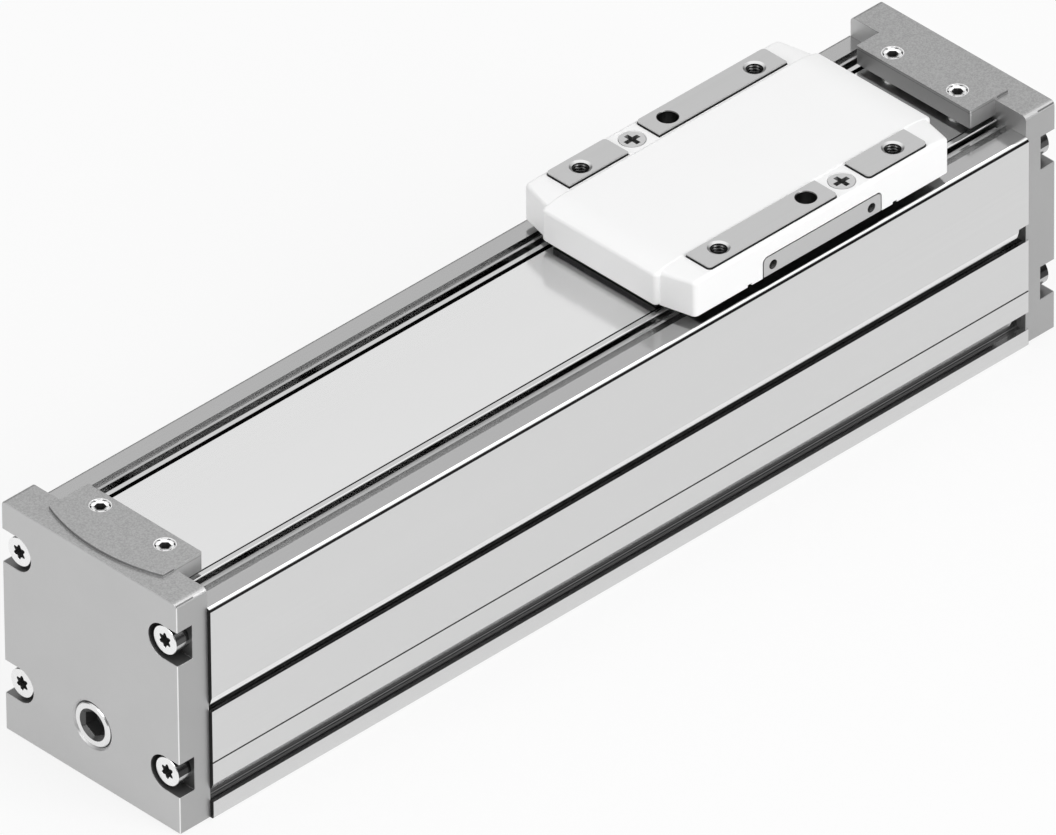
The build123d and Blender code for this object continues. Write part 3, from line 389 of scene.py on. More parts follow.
@dataclass(frozen=True)
class DrawnMetal:
    """Metal with fine die or rolling lines along the axis."""

    name: str
    tone: float
    roughness: float
    lines_per_metre: float = 2600.0
    contrast: float = 0.04
    relief: float = 4e-6
    metallic: float = 1.0
    zones: tuple[Zone, ...] = ()
    lines_along: float = 3.0
    fine_share: float = 0.65
    smoothest: float = 0.82
    rough_spread: float = 0.35

    def material(self) -> bpy.types.Material:
        """Builds the material: long thin noise drives tone, roughness and relief."""
        graph = Paint(self.name)
        line = self.lines_per_metre
        fine = graph.noise(scale=(self.lines_along, line, line), detail=2.0, roughness=0.6)
        broad = graph.noise(scale=(6.0, 90.0, 90.0), detail=2.0)
        mottle = fine * self.fine_share + broad * (1 - self.fine_share)
        colour = graph.zoned(graph.varied(mottle, self.tone, self.contrast), self.zones)
        rough = mottle * (self.roughness * self.rough_spread) + self.roughness * self.smoothest
        return graph.finish(Base_Color=colour, Metallic=self.metallic, Roughness=rough,
                            Normal=graph.bump(fine, strength=0.35, distance=self.relief))


@dataclass(frozen=True)
class BlastedCasting:
    """Die-cast metal with a blasted, slightly cloudy skin."""

    name: str
    tone: float
    roughness: float = 0.42
    grains_per_metre: float = 2600.0
    relief: float = 3e-5
    metallic: float = 0.85
    tops: tuple[Span, ...] = (Span("Z", 0.0647, 0.0649), Span("Z", 0.0655, 1.0))
    # Painted shade: the tops take this share of the tone, under their speckled grain
    top_shade_share: float = 0.68
    speckle: float = 0.14
    speckle_range: tuple[float, float] = (0.36, 0.64)
    clouding: float = 0.06
    low_relief: float = 0.1
    zones: tuple[Zone, ...] = ()

    def material(self) -> bpy.types.Material:
        """Builds the material: speckled tops darkened by painted shade, a smoother skin below, and soft
        clouds.
        """
        graph = Paint(self.name)
        top = sum((span.mask(graph) for span in self.tops[1:]), start=self.tops[0].mask(graph))
        grains = graph.noise(scale=(self.grains_per_metre,) * 3, detail=4.0, roughness=0.65)
        grain = grains * (top * (1 - self.low_relief) + self.low_relief)
        cloud = graph.noise(scale=(70.0,) * 3, detail=3.0)
        clouded = graph.varied(cloud, self.tone, self.clouding)
        speckles = grains.rise(*self.speckle_range)
        # The speckled tops carry painted shade from the darker tone
        speckled = graph.varied(speckles, self.tone * self.top_shade_share, self.speckle)
        colour = graph.zoned(graph.blend(top, clouded, speckled), self.zones)
        rough = graph.roughened(cloud, self.roughness, spread=0.12)
        return graph.finish(Base_Color=colour, Metallic=self.metallic, Roughness=rough,
                            Normal=graph.bump(grain, strength=0.4, distance=self.relief))


@dataclass(frozen=True)
class TurnedMetal:
    """Small bright steel pieces with a fine plating grain."""

    name: str
    tone: float
    roughness: float
    metallic: float = 1.0
    zones: tuple[Zone, ...] = ()
    grain_share: float = 0.4
    tone_shares: tuple[float, float] = (0.92, 1.06)
    relief: float = 8e-6

    def material(self) -> bpy.types.Material:
        """Builds the material: fine even noise drives tone and roughness."""
        graph = Paint(self.name)
        grain = graph.noise(scale=(4200.0,) * 3, detail=2.0)
        cloud = graph.noise(scale=(600.0,) * 3, detail=2.0)
        mix = grain * self.grain_share + cloud * (1 - self.grain_share)
        dull, clear = (grey(self.tone * share) for share in self.tone_shares)
        colour = graph.zoned(graph.blend(mix, dull, clear), self.zones)
        rough = graph.roughened(mix, self.roughness, spread=0.12)
        return graph.finish(Base_Color=colour, Metallic=self.metallic, Roughness=rough,
                            Normal=graph.bump(grain, strength=0.2, distance=self.relief))


@dataclass(frozen=True)
class Moulded:
    """Moulded plastic or rubber with a fine even skin."""

    name: str
    colour: tuple[float, float, float]
    roughness: float
    relief: float = 1.2e-5
    shade: float = 0.985

    def material(self) -> bpy.types.Material:
        """Builds the material: a fine skin for relief and a faint cloud for tone."""
        graph = Paint(self.name)
        skin = graph.noise(scale=(1900.0,) * 3, detail=3.0, roughness=0.55)
        cloud = graph.noise(scale=(45.0,) * 3, detail=2.0)
        low = tuple(value * self.shade for value in self.colour)
        colour = graph.blend(cloud, low, self.colour)
        rough = graph.roughened(skin, self.roughness, spread=0.08)
        return graph.finish(Base_Color=colour, Metallic=0.0, Roughness=rough,
                            Normal=graph.bump(skin, strength=0.25, distance=self.relief))


@dataclass(frozen=True)
class FinishSet:
    """Every finish of the axis, with the painted shade and painted highlights that some of them carry in
    zones.
    """

    extrusion: DrawnMetal = DrawnMetal("anodised_extrusion", 0.67, 0.14, zones=(
        # Painted shade: the sawn ends near black, and the flat top darker than the sides
        Zone((Span("X", 0.13188, 1.0, True),), 0.05),
        Zone((Span("Y", 0.0, 0.0289, True), Span("Z", 0.0591, 1.0)), 0.65),
        # Painted highlight and painted dark reflection: bright and dark lines along the rounded top edges
        Zone((Span("Y", 0.0289, 0.0296, True), Span("Z", 0.0588, 1.0)), 1.35),
        Zone((Span("Y", 0.0296, 1.0, True), Span("Z", 0.0583, 0.0589)), 0.08),
        # Painted shade in the near and deep part of the sensor grooves, and a painted highlight on their
        # upper bevels
        Zone((Span("Y", 0.0276, 0.0289, True), Span("Z", 0.0289, 0.0337)), 0.1),
        Zone((Span("Y", 0.024, 0.0276, True), Span("Z", 0.0289, 0.0337)), 0.5),
        Zone((Span("Y", 0.02935, 0.02996, True), Span("Z", 0.0323, 0.0342)), 1.25),
        # Painted shade in the pockets of the clamp grooves and along the scribed lines
        Zone((Span("Y", 0.0259, 0.0283, True), Span("Z", 0.0036, 0.0094)), 0.4),
        Zone((Span("Y", 0.0296, 0.02995, True), Span("Z", 0.0154, 0.0162)), 0.1)))
    # Painted shade: the seat beside each edge of the band is dark
    strip: DrawnMetal = DrawnMetal("anodised_strip", 0.6, 0.14, zones=(
        Zone((Span("Y", 0.0170, 0.01815, True),), 0.04),))
    band: DrawnMetal = DrawnMetal("rolled_band", 0.74, 0.14, 3400.0, 0.025, 2e-6)
    casting: BlastedCasting = BlastedCasting("blasted_casting", 0.55, zones=(
        # Painted shade in the screw notches, on the tongue's front and on the sides
        Zone((Span("X", 0.136, 0.1413, True), Span("Y", 0.015, 0.0288, True), Span("Z", -1.0, 0.0644)), 0.3),
        Zone((Span("X", 0.0, 0.1237, True),), 0.62),
        Zone((Span("Y", 0.02895, 1.0, True),), 0.78),
        # Painted highlights on the upright edges and the mouths of the set screws, and painted shade on the
        # step's wall
        Zone((Span("X", 0.14128, 1.0, True), Span("Y", 0.02878, 1.0, True)), 1.7),
        Zone((Span("X", 0.1325, 1.0, True), Span("Z", 0.0649, 0.0654)), 0.5),
        Zone((Disc(0.1276, 0.0107, 0.00268), Span("Z", 0.0652, 1.0)), 2.2)))
    pads: DrawnMetal = DrawnMetal("milled_pads", 0.55, 0.3, 3000.0, 0.05, zones=(
        # Painted shade on the walls below the pads' tops, lightened in the bores, and on the bores' mouths
        Zone((Span("Z", 0.0668, 0.07145),), 0.12),
        Zone((Span("X", 0.0625, 0.0695), Span("Y", 0.0196, 0.026, True), Span("Z", 0.0668, 0.07145)), 2.5),
        Zone((Span("X", 0.0625, 0.0695), Span("Y", 0.0196, 0.026, True), Span("Z", 0.0714, 0.07183)), 0.25)))
    rail: DrawnMetal = DrawnMetal("ground_rail", 0.6, 0.25, 4000.0)
    bright: TurnedMetal = TurnedMetal("bright_screws", 0.9, 0.22, zones=(
        # Painted shade on the sides of the cap screws' heads: above each axis, then all below the upper axes
        Zone((Span("X", 0.1366, 0.14056, True), Span("Z", 0.0522, 0.057)), 0.1),
        Zone((Span("X", 0.1366, 0.14056, True), Span("Z", 0.015, 0.0195)), 0.1),
        Zone((Span("X", 0.1366, 0.14056, True), Span("Z", 0.0, 0.0522)), 0.55)))
    satin: TurnedMetal = TurnedMetal("satin_screws", 0.6, 0.3)
    dark: TurnedMetal = TurnedMetal("dark_screws", 0.4, 0.3)
    # Painted shade: the insides of the sockets are near black
    socket: TurnedMetal = TurnedMetal("painted_shade_sockets", 0.09, 0.4, 0.6)
    plug: TurnedMetal = TurnedMetal("plated_plug", 0.84, 0.2)
    # Painted shade: the threads inside the tapped holes are near black
    thread: TurnedMetal = TurnedMetal("cut_threads_painted_shade", 0.1, 0.28)
    balls: TurnedMetal = TurnedMetal("polished_balls", 0.8, 0.12)
    cover: Moulded = Moulded("white_cover", (0.91, 0.91, 0.91), 0.42)
    black: Moulded = Moulded("black_plastic", (0.03, 0.03, 0.033), 0.45)
    rubber: Moulded = Moulded("black_rubber", (0.02, 0.02, 0.02), 0.7, 4e-5)


# Surfaces


@dataclass(frozen=True)
class Skin:
    """Points of one surface, the quads between them, and from which quad on the second finish starts."""

    points: np.ndarray
    quads: np.ndarray
    second_from: int | None = None


def grid_skin(points: np.ndarray, wrap_rows: bool = False) -> Skin:
    """Joins a grid of points, closed around its columns, into quads.

    Args:
        points: array of rows by columns by 3.
        wrap_rows: whether the last row also joins the first.

    Returns:
        The surface; each quad joins two neighbours of one row with the same two of the next.
    """
    rows, columns = points.shape[:2]
    row = np.arange(rows if wrap_rows else rows - 1)[:, None]
    column = np.arange(columns)[None, :]
    next_row = (row + 1) % rows
    next_column = (column + 1) % columns
    corners = (row * columns + column, row * columns + next_column,
               next_row * columns + next_column, next_row * columns + column)
    quads = np.stack(corners, axis=-1).reshape(-1, 4)
    return Skin(points.reshape(-1, 3), quads)


def turned(radius: np.ndarray, height: np.ndarray, angle: np.ndarray) -> np.ndarray:
    """Points of a turned surface, in metres.

    Args:
        radius: radii in millimetres, rows by angles.
        height: heights in millimetres.
        angle: the angles.

    Returns:
        The points: x and y are the radius times the angle's cosine and sine.
    """
    return np.stack((radius * np.cos(angle), radius * np.sin(angle), height + 0 * radius), axis=-1) * MM


def moved(skin: Skin, centre: Sequence[float], along: Sequence[float]) -> Skin:
    """Turns a surface built around +Z so that +Z points along a direction, and shifts it.

    Args:
        skin: the surface around the Z axis.
        centre: where its origin goes, in metres.
        along: the direction that +Z takes.

    Returns:
        The surface in its place.
    """
    turn = Vector((0, 0, 1)).rotation_difference(Vector(along)).to_matrix()
    return Skin(skin.points @ np.array(turn).T + np.array(centre), skin.quads, skin.second_from)


def weld(mesh: bpy.types.Mesh, distance: float = SEAM_GAP) -> None:
    """Merges points that fall together, which closes poles and seams.

    Args:
        mesh: the mesh to change.
        distance: how near two points fall together, in metres.
    """
    shape = bmesh.new()
    shape.from_mesh(mesh)
    bmesh.ops.remove_doubles(shape, verts=shape.verts, dist=distance)
    shape.to_mesh(mesh)
    shape.free()


def softened(node: str, body: Body, finish: object, radius: float, limit: float = 38.0) -> bpy.types.Object:
    """Stands a copy with narrow rounded edges in for a CAD node.

    Args:
        node: the CAD node.
        body: the body it rides on.
        finish: its finish.
        radius: width of the rounding, in millimetres.
        limit: edges that turn by more than this, in degrees, are rounded.

    Returns:
        The copy.
    """
    mesh = frame["nodes"][node].data.copy()
    mesh.name = node + "_soft"
    weld(mesh, CAD_SEAM_GAP)
    shape = bmesh.new()
    shape.from_mesh(mesh)
    coplanar = math.radians(COPLANAR_DEGREES)
    bmesh.ops.dissolve_limit(shape, angle_limit=coplanar, verts=shape.verts, edges=shape.edges)
    shape.to_mesh(mesh)
    shape.free()
    mesh.materials.clear()
    mesh.materials.append(finish.material())
    mesh.polygons.foreach_set("use_smooth", np.ones(len(mesh.polygons), dtype=bool))
    mesh.set_sharp_from_angle(angle=math.radians(limit))
    piece = bpy.data.objects.new(mesh.name, mesh)
    bpy.context.scene.collection.objects.link(piece)
    rounding = piece.modifiers.new("rounding", "BEVEL")
    rounding.width = radius * MM
    rounding.segments = ROUNDING_SEGMENTS
    rounding.limit_method = "ANGLE"
    rounding.angle_limit = math.radians(limit)
    rounding.harden_normals = False
    shading = piece.modifiers.new("shading", "WEIGHTED_NORMAL")
    shading.weight = NORMAL_WEIGHT
    shading.keep_sharp = True
    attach(piece, body.value)
    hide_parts(node)
    LOG.info("softened %s", node)
    return piece


def box_mm(node: str) -> tuple[np.ndarray, np.ndarray]:
    """A node's lowest and highest corners at rest, in millimetres."""
    low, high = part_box(node)
    return np.array(low) / MM, np.array(high) / MM


def put_mesh(name: str, skins: Sequence[Skin], material: bpy.types.Material, crease: float = 30.0,
             second: bpy.types.Material | None = None) -> bpy.types.Object:
    """Makes one object from several surfaces.

    Args:
        name: the piece's name.
        skins: its surfaces.
        material: its finish.
        crease: faces that meet at more than this angle, in degrees, keep a sharp edge.
        second: the finish of the quads from each surface's second_from on.

    Returns:
        The object, at the origin.
    """
    starts = np.cumsum([0] + [len(skin.points) for skin in skins[:-1]])
    points = np.concatenate([skin.points for skin in skins])
    quads = np.concatenate([skin.quads + start for skin, start in zip(skins, starts)])
    mesh = bpy.data.meshes.new(name)
    mesh.vertices.add(len(points))
    mesh.vertices.foreach_set("co", points.astype(np.float32).ravel())
    mesh.loops.add(quads.size)
    mesh.loops.foreach_set("vertex_index", quads.astype(np.int32).ravel())
    mesh.polygons.add(len(quads))
    mesh.polygons.foreach_set("loop_start", np.arange(0, quads.size, 4, dtype=np.int32))
    mesh.polygons.foreach_set("use_smooth", np.ones(len(quads), dtype=bool))
    first_counts = [len(skin.quads) if skin.second_from is None else skin.second_from for skin in skins]
    finish = [np.arange(len(skin.quads)) >= count for skin, count in zip(skins, first_counts)]
    mesh.materials.append(material)
    if second is not None:
        mesh.materials.append(second)
    mesh.polygons.foreach_set("material_index", np.concatenate(finish).astype(np.int32))
    mesh.update(calc_edges=True)
    weld(mesh)
    mesh.set_sharp_from_angle(angle=math.radians(crease))
    piece = bpy.data.objects.new(name, mesh)
    bpy.context.scene.collection.objects.link(piece)
    LOG.info("piece %s: %d faces", name, len(quads))
    return piece


@dataclass(frozen=True)
class HexSocket:
    """A hexagon socket by its width across flats, in millimetres, and the angle of a corner."""

    width: float
    turn: float = 0.0

    def corners(self) -> np.ndarray:
        """Angles of the six corners."""
        return np.arange(6) * math.pi / 3 + self.turn

    def radius(self, angle: np.ndarray) -> np.ndarray:
        """Half the width over the cosine of the angle to the middle of the nearest flat."""
        sixth = math.pi / 3
        return self.width / 2 / np.cos((angle - self.turn) % sixth - sixth / 2)


@dataclass(frozen=True)
class LobedSocket:
    """A six-lobed socket by the radius of its lobes and of its ribs, in millimetres."""

    lobe: float
    rib: float

    def corners(self) -> np.ndarray:
        """Angles of the six lobes."""
        return np.arange(6) * math.pi / 3

    def radius(self, angle: np.ndarray) -> np.ndarray:
        """The mean radius plus half the difference times a cosine of six times the angle."""
        return (self.lobe + self.rib) / 2 + (self.lobe - self.rib) / 2 * np.cos(6 * angle)


@dataclass(frozen=True)
class CrossSocket:
    """A cross recess by the length and width of its arms, in millimetres."""

    length: float
    width: float

    def corners(self) -> np.ndarray:
        """Angles of the arms' end corners and of the four inner corners."""
        tip = math.atan2(self.width, self.length)
        arms = np.arange(4)[:, None] * math.pi / 2
        return (arms + np.array([-tip, tip, math.pi / 4])).ravel()

    def radius(self, angle: np.ndarray) -> np.ndarray:
        """The nearer of the arm's end, length over cosine, and its side, width over sine, both halved."""
        quarter = math.pi / 2
        off = np.abs((angle + quarter / 2) % quarter - quarter / 2)
        side = self.width / 2 / np.maximum(np.sin(off), SMALLEST_SINE)
        return np.minimum(self.length / 2 / np.cos(off), side)


@dataclass(frozen=True)
class Ring:
    """One row of a turned surface: radius and height in millimetres, and how far it follows the socket."""

    radius: float
    height: float
    socket: float = 0.0


@dataclass(frozen=True)
class Notches:
    """Narrow notches in a screw's rim: number, first angle, half angle, radius and floor."""

    count: int
    turn: float
    half_angle: float
    radius: float
    floor: float

    def edges(self) -> np.ndarray:
        """Angles just inside and just outside each notch."""
        middles = self.turn + np.arange(self.count)[:, None] * 2 * math.pi / self.count
        return (middles + self.half_angle * np.array([-1.1, -0.9, 0.9, 1.1])).ravel()

    def cut(self, radius: np.ndarray, height: np.ndarray, angle: np.ndarray) -> np.ndarray:
        """Holds the rows above the floor down to the radius, near every notch's angle.

        Args:
            radius: radii, rows by angles.
            height: height of each row.
            angle: the angles.

        Returns:
            The radii with the notches cut.
        """
        step = 2 * math.pi / self.count
        off = np.abs((angle - self.turn + step / 2) % step - step / 2)
        inside = (off < self.half_angle)[None, :] & (height > self.floor)
        return np.where(inside, np.minimum(radius, self.radius), radius)


@dataclass(frozen=True)
class Screw:
    """A screw or plug turned about +Z with its face at height 0, in millimetres."""

    outside: tuple[tuple[float, float], ...]
    socket: HexSocket | LobedSocket | CrossSocket
    mouth: float
    depth: float
    floor: float = 0.94
    cone: float = 0.3
    lip: float = 0.0
    # The last rows of the socket take the finish of painted shade
    shaded_rows: int = 3
    columns: int = 96
    notches: Notches | None = None

    def skin(self) -> Skin:
        """Builds the surface, from the middle of the tip, over the face, to the middle of the socket's floor.

        Returns:
            The surface: a row outside has its own radius, and a row of the socket has the outline's radius
            at that angle times its share.
        """
        even = np.linspace(0, 2 * math.pi, self.columns, endpoint=False)
        extra = self.socket.corners()
        if self.notches is not None:
            extra = np.concatenate((extra, self.notches.edges()))
        angle = np.unique(np.round(np.concatenate((even, extra % (2 * math.pi))), ANGLE_DIGITS))
        outline = self.socket.radius(angle)
        share = 1 + self.mouth / outline.mean()
        rings = [Ring(0.0, self.outside[0][1])] + [Ring(radius, height) for radius, height in self.outside]
        rings += [Ring(share, -self.lip, 1.0), Ring(1.0, -self.lip - self.mouth, 1.0),
                  Ring(self.floor, -self.depth, 1.0), Ring(0.0, -self.depth - self.cone, 1.0)]
        own = np.array([ring.radius for ring in rings])[:, None]
        follows = np.array([ring.socket for ring in rings])[:, None]
        height = np.array([ring.height for ring in rings])[:, None]
        radius = own * (1 - follows) + own * follows * outline[None, :]
        if self.notches is not None:
            radius = self.notches.cut(radius, height, angle)
        skin = grid_skin(turned(radius, height, angle))
        return Skin(skin.points, skin.quads, (len(rings) - self.shaded_rows) * len(angle))


@dataclass(frozen=True)
class ThreadedHole:
    """The cut thread that lines a tapped hole, in millimetres."""

    wall: float
    pitch: float
    depth: float
    top: float
    columns: int = 40
    rows_per_pitch: int = 8
    ridge_share: float = 0.3
    fade_share: float = 0.6
    play: float = 0.015
    back_play: float = 0.005

    def skin(self) -> Skin:
        """Builds the lining about Z, with the hole's mouth at height 0.

        Returns:
            A closed sleeve: its inner radius falls from the wall by a triangle wave of the height
            over the pitch less the angle over a full turn, and its outer radius is the wall. Both
            lie a small play inside it.
        """
        angle = np.linspace(0, 2 * math.pi, self.columns, endpoint=False)
        rows = int((self.depth - self.top) / self.pitch * self.rows_per_pitch)
        height = -np.linspace(self.top, self.depth, rows)[:, None]
        phase = (height / self.pitch - angle / (2 * math.pi)) % 1.0
        ridge = 1 - np.abs(2 * phase - 1)
        fade = np.clip((-height - self.top) / (self.fade_share * self.pitch), 0, 1)
        inner = self.wall - self.play - self.ridge_share * self.pitch * ridge * fade
        outer = np.full((2, len(angle)), self.wall - self.back_play)
        ends = np.array([[-self.depth], [-self.top]])
        radius = np.concatenate((inner, outer))
        level = np.concatenate((height + 0 * angle, ends + 0 * angle))
        return grid_skin(turned(radius, level, angle), wrap_rows=True)


# Sub-assemblies


@dataclass
class Dressing:
    """Gives the CAD nodes, by name, their finishes."""

    nodes: Mapping[str, bpy.types.Object]

    def dress(self, names: Sequence[str], finish: object) -> None:
        """Puts one finish on several nodes.

        Args:
            names: the nodes to dress.
            finish: a finish with a material method.
        """
        material = finish.material()
        for name in names:
            mesh = self.nodes[name].data
            mesh.materials.clear()
            mesh.materials.append(material)
            LOG.info("dressed %s", name)


@dataclass
class Housing:
    """The extrusion with its strip, band, rail and small fixed pieces."""

    finishes: FinishSet
    cast_edge: float = 0.22

    def dress(self, nodes: Mapping[str, bpy.types.Object]) -> None:
        """Dresses the housing's own nodes."""
        dressing = Dressing(nodes)
        dressing.dress(["profile"], self.finishes.extrusion)
        dressing.dress(["band_carrier"], self.finishes.strip)
        dressing.dress(["cover_band"], self.finishes.band)
        dressing.dress(["guide_rail"], self.finishes.rail)
        dressing.dress(["rail_screws"], self.finishes.dark)
        dressing.dress(["rail_hole_caps"], self.finishes.black)
        rubber = ["port_seal_near", "port_seal_far", "buffer_near_left", "buffer_near_right",
                  "buffer_far_left", "buffer_far_right"]
        dressing.dress(rubber, self.finishes.rubber)

    def build(self) -> None:
        """Rounds the edges of the cast end caps."""
        for end in End:
            node = "end_cap_" + end.name.lower()
            piece = softened(node, Body.HOUSING, self.finishes.casting, self.cast_edge)


@dataclass
class Slide:
    """The slide: body, cover, runner and the threads in its holes."""

    finishes: FinishSet
    middle: float = 66.0
    hole_reach_x: float = 28.3
    hole_reach_y: float = 22.8
    lug_reach: float = 16.0
    lug_height: float = 63.6
    flank: float = 28.2
    moulded_edge: float = 0.2
    table_thread: ThreadedHole = ThreadedHole(2.1, 0.8, 8.6, 0.42)
    lug_thread: ThreadedHole = ThreadedHole(1.25, 0.5, 5.4, 0.05)

    def dress(self, nodes: Mapping[str, bpy.types.Object]) -> None:
        """Dresses the slide's own nodes."""
        dressing = Dressing(nodes)
        dressing.dress(["slide_body"], self.finishes.pads)
        dressing.dress(["runner_cap_screws"], self.finishes.bright)
        dressing.dress(["runner_screws"], self.finishes.dark)
        dressing.dress(["runner_block"], self.finishes.rail)
        dressing.dress(["runner_end_cap_front", "runner_end_cap_rear"], self.finishes.black)
        rubber = ["band_wiper_front", "band_wiper_rear", "runner_seal_front", "runner_seal_rear"]
        dressing.dress(rubber, self.finishes.rubber)
        dressing.dress(["runner_balls"], self.finishes.balls)

    def build(self) -> None:
        """Rounds the cover's edges and lines the tapped holes with threads."""
        cover = softened("slide_cover", Body.SLIDE, self.finishes.cover, self.moulded_edge)
        material = self.finishes.thread.material()
        top = box_mm("slide_body")[1][2]
        holes = [((self.middle + end.value * self.hole_reach_x, side.value * self.hole_reach_y, top),
                  (0, 0, 1)) for end in End for side in Side]
        self.line("table_threads", self.table_thread, material, holes)
        holes = [((self.middle + end.value * self.lug_reach, side.value * self.flank, self.lug_height),
                  (0, side.value, 0)) for end in End for side in Side]
        self.line("lug_threads", self.lug_thread, material, holes)

    def line(self, name: str, thread: ThreadedHole, material: bpy.types.Material,
             holes: Sequence[tuple[Sequence[float], Sequence[float]]]) -> None:
        """Lines a set of tapped holes with one thread.

        Args:
            name: the piece's name.
            thread: the thread.
            material: its finish.
            holes: each mouth's middle, in millimetres, and the direction that it faces.
        """
        lining = thread.skin()
        skins = [moved(lining, np.array(place) * MM, out) for place, out in holes]
        piece = put_mesh(name, skins, material)
        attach(piece, Body.SLIDE.value)


@dataclass
class Fasteners:
    """The screws and plugs of both ends and of the cover, placed by their CAD nodes' boxes."""

    finishes: FinishSet
    cap_screw: Screw = Screw(((1.95, -20.0), (1.95, -4.0), (3.75, -4.0), (3.75, -0.12), (3.63, 0.0)),
                             LobedSocket(2.0, 1.35), 0.04, 1.8)
    set_screw: Screw = Screw(((1.4, -6.2), (2.4, -5.2), (2.4, -2.5), (2.4, -2.4), (2.4, -0.3), (2.2, 0.0),
                              (1.75, 0.0)), HexSocket(2.5, 0.28), 0.05, 2.5, lip=0.1,
                             notches=Notches(6, 0.4, 0.16, 2.0, -2.45))
    plug: Screw = Screw(((4.8, -8.1), (4.8, -2.1), (5.75, -2.1), (5.75, -0.25), (5.5, 0.0), (4.2, 0.0)),
                        HexSocket(6.0), 0.05, 4.2, 0.97, 0.8, 0.75, 5)
    cover_screw: Screw = Screw(((1.95, -6.9), (1.95, -1.25), (3.2, 0.0)), CrossSocket(4.3, 1.25), 0.04, 1.2,
                               0.6)

    def build(self) -> None:
        """Builds every set of screws in place of its node."""
        for end in End:
            word = end.name.lower()
            out = (end.value, 0, 0)
            low, high = box_mm("cap_screws_" + word)
            face = low[0] if end is End.NEAR else high[0]
            reach = self.cap_screw.outside[2][0]
            places = [(face, y, z) for y in (low[1] + reach, high[1] - reach)
                      for z in (low[2] + reach, high[2] - reach)]
            self.put("cap_screws_" + word, self.cap_screw, places, out, self.finishes.bright,
                     Body.HOUSING)
            low, high = box_mm("band_clamp_screws_" + word)
            reach = self.set_screw.outside[1][0]
            places = [((low[0] + high[0]) / 2, y, high[2]) for y in (low[1] + reach, high[1] - reach)]
            self.put("band_clamp_screws_" + word, self.set_screw, places, (0, 0, 1), self.finishes.bright,
                     Body.HOUSING)
            low, high = box_mm("port_plug_" + word)
            face = low[0] if end is End.NEAR else high[0]
            self.put("port_plug_" + word, self.plug, [(face, *(low + high)[1:] / 2)], out, self.finishes.plug,
                     Body.HOUSING)
        low, high = box_mm("cover_screws")
        reach = self.cover_screw.outside[-1][0]
        places = [(low[0] + reach, high[1] - reach, high[2]), (high[0] - reach, low[1] + reach, high[2])]
        self.put("cover_screws", self.cover_screw, places, (0, 0, 1), self.finishes.satin,
                 Body.SLIDE)

    def put(self, node: str, screw: Screw, places: Sequence[Sequence[float]], out: Sequence[float],
            finish: TurnedMetal, body: Body) -> None:
        """Builds one node's screws.

        Args:
            node: the CAD node that they stand for.
            screw: the screw.
            places: the middles of their faces, in millimetres.
            out: the direction that their faces look.
            finish: their finish.
            body: the body they ride on.
        """
        skin = screw.skin()
        skins = [moved(skin, np.array(place) * MM, out) for place in places]
        piece = put_mesh(node + "_turned", skins, finish.material(), second=self.finishes.socket.material())
        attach(piece, body.value)
        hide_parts(node)


# Studio


@dataclass(frozen=True)
class PhotoCamera:
    """The camera of the photograph: a long lens far away, fitted to the axis."""

    azimuth: float = -43.965
    elevation: float = 35.726
    roll: float = -0.5196
    distance: float = 6.91895
    right_shift: float = 0.001381908
    up_shift: float = 0.001144572
    focal_pixels: float = 29922.65
    picture_width: float = 1056.0
    sensor: float = 36.0
    nearest: float = 0.5
    farthest: float = 50.0
    centre: tuple[float, float, float] = (0.0, 0.0, 0.0324)

    def add(self) -> None:
        """Adds the camera and makes it the scene's own."""
        azimuth, elevation, roll = (math.radians(a) for a in (self.azimuth, self.elevation, self.roll))
        back = Vector((math.sin(azimuth) * math.cos(elevation), -math.cos(azimuth) * math.cos(elevation),
                       math.sin(elevation)))
        level = Vector((0, 0, 1)).cross(back).normalized()
        upright = back.cross(level)
        right = math.cos(roll) * level + math.sin(roll) * upright
        up = -math.sin(roll) * level + math.cos(roll) * upright
        lens = bpy.data.cameras.new("photo_camera")
        lens.sensor_fit = "HORIZONTAL"
        lens.sensor_width = self.sensor
        lens.lens = self.sensor * self.focal_pixels / self.picture_width
        lens.clip_start = self.nearest
        lens.clip_end = self.farthest
        camera = bpy.data.objects.new("photo_camera", lens)
        place = Vector(self.centre) + self.distance * back - self.right_shift * right - self.up_shift * up
        camera.matrix_world = Matrix.Translation(place) @ Matrix((right, up, back)).transposed().to_4x4()
        bpy.context.scene.collection.objects.link(camera)
        bpy.context.scene.camera = camera


@dataclass(frozen=True)
class Softbox:
    """One square lamp that faces a point above the floor."""

    name: str
    place: tuple[float, float, float]
    side: float
    power: float
    target: tuple[float, float, float] = (0.0, 0.0, 0.04)

    def add(self) -> None:
        """Adds the lamp."""
        light = bpy.data.lights.new(self.name, "AREA")
        light.shape = "SQUARE"
        light.size = self.side
        light.energy = self.power
        lamp = bpy.data.objects.new(self.name, light)
        lamp.location = self.place
        facing = Vector(self.target) - Vector(self.place)
        lamp.rotation_euler = facing.to_track_quat("-Z", "Y").to_euler()
        bpy.context.scene.collection.objects.link(lamp)


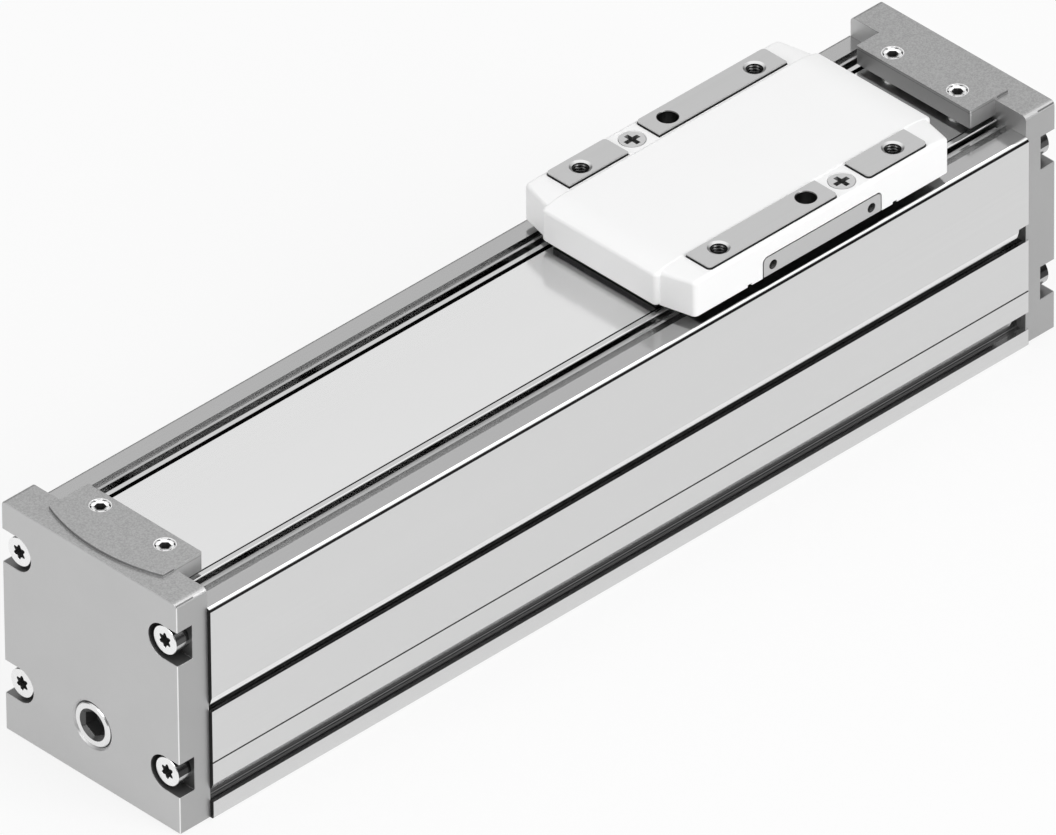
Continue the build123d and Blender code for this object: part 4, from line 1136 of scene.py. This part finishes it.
@dataclass(frozen=True)
class Studio:
    """A pale floor, a white background and soft lamps."""

    floor_size: float = 8.0
    ambient: float = 0.5
    mirrored: tuple[tuple[float, float], ...] = ((0.0, 0.14), (0.4, 0.18), (0.5, 1.0), (1.0, 1.0))
    floor_tone: float = 0.86
    floor_seen_white: float = 0.8
    floor_mirrored_white: float = 0.7
    lamps: tuple[Softbox, ...] = (
        Softbox("key", (0.3, -1.5, 1.1), 1.0, 16.0),
        Softbox("front", (-1.6, -0.1, 0.7), 0.8, 6.0),
        Softbox("top", (0.2, 0.3, 1.8), 2.4, 10.5),
    )

    def add(self) -> None:
        """Builds the world, the floor and the lamps."""
        self.add_world()
        self.add_floor()
        for lamp in self.lamps:
            lamp.add()

    def add_world(self) -> None:
        """A grey sky, white to the camera, that mirrors see darker towards the horizon."""
        world = bpy.data.worlds.new("studio_world")
        bpy.context.scene.world = world
        world.use_nodes = True
        graph = Graph(world.node_tree)
        camera = graph.node("ShaderNodeLightPath", {}, {}, "Is Camera Ray")
        glossy = graph.node("ShaderNodeLightPath", {}, {}, "Is Glossy Ray")
        clear = graph.node("ShaderNodeLightPath", {}, {}, "Is Transmission Ray")
        rise = graph.along("Z", graph.node("ShaderNodeTexCoord", {}, {}, "Generated"))
        mirrored = graph.node("ShaderNodeValToRGB", {"stops": self.mirrored}, {0: rise})
        seen = camera + clear
        strength = self.ambient + seen * (1 - self.ambient) + glossy * (mirrored - self.ambient)
        sky = graph.tree.nodes["Background"]
        graph.tree.links.new(strength.socket, sky.inputs["Strength"])
        sky.inputs["Color"].default_value = (1, 1, 1, 1)

    def add_floor(self) -> None:
        """A pale floor that keeps the axis's shadow and shows white to the camera."""
        graph = Paint("pale_floor")
        reach = self.floor_size / 2
        corners = np.array([(-reach, -reach, 0), (reach, -reach, 0), (reach, reach, 0), (-reach, reach, 0)])
        floor = put_mesh("studio_floor", [Skin(corners, np.array([[0, 1, 2, 3]]))], graph.material)
        paths = graph.tree.nodes.new("ShaderNodeLightPath")
        glow = graph.tree.nodes.new("ShaderNodeEmission")
        matt = graph.tree.nodes.new("ShaderNodeBsdfDiffuse")
        matt.inputs["Color"].default_value = (*grey(self.floor_tone), 1)
        blend = graph.tree.nodes.new("ShaderNodeMixShader")
        camera = Wire(graph, paths.outputs["Is Camera Ray"])
        glossy = Wire(graph, paths.outputs["Is Glossy Ray"])
        factor = camera * self.floor_seen_white + glossy * self.floor_mirrored_white
        graph.tree.links.new(factor.socket, blend.inputs[0])
        graph.tree.links.new(matt.outputs[0], blend.inputs[1])
        graph.tree.links.new(glow.outputs[0], blend.inputs[2])
        output = graph.tree.nodes["Material Output"]
        graph.tree.links.new(blend.outputs[0], output.inputs["Surface"])


def main() -> None:
    """Builds the studio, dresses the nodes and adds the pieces."""
    logging.basicConfig(level=logging.INFO, format="%(message)s")
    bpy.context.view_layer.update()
    bpy.context.scene.view_settings.view_transform = "Standard"
    finishes = FinishSet()
    Studio().add()
    PhotoCamera().add()
    housing = Housing(finishes)
    housing.dress(frame["nodes"])
    housing.build()
    slide = Slide(finishes)
    slide.dress(frame["nodes"])
    slide.build()
    Fasteners(finishes).build()


if __name__ == "__main__":
    main()
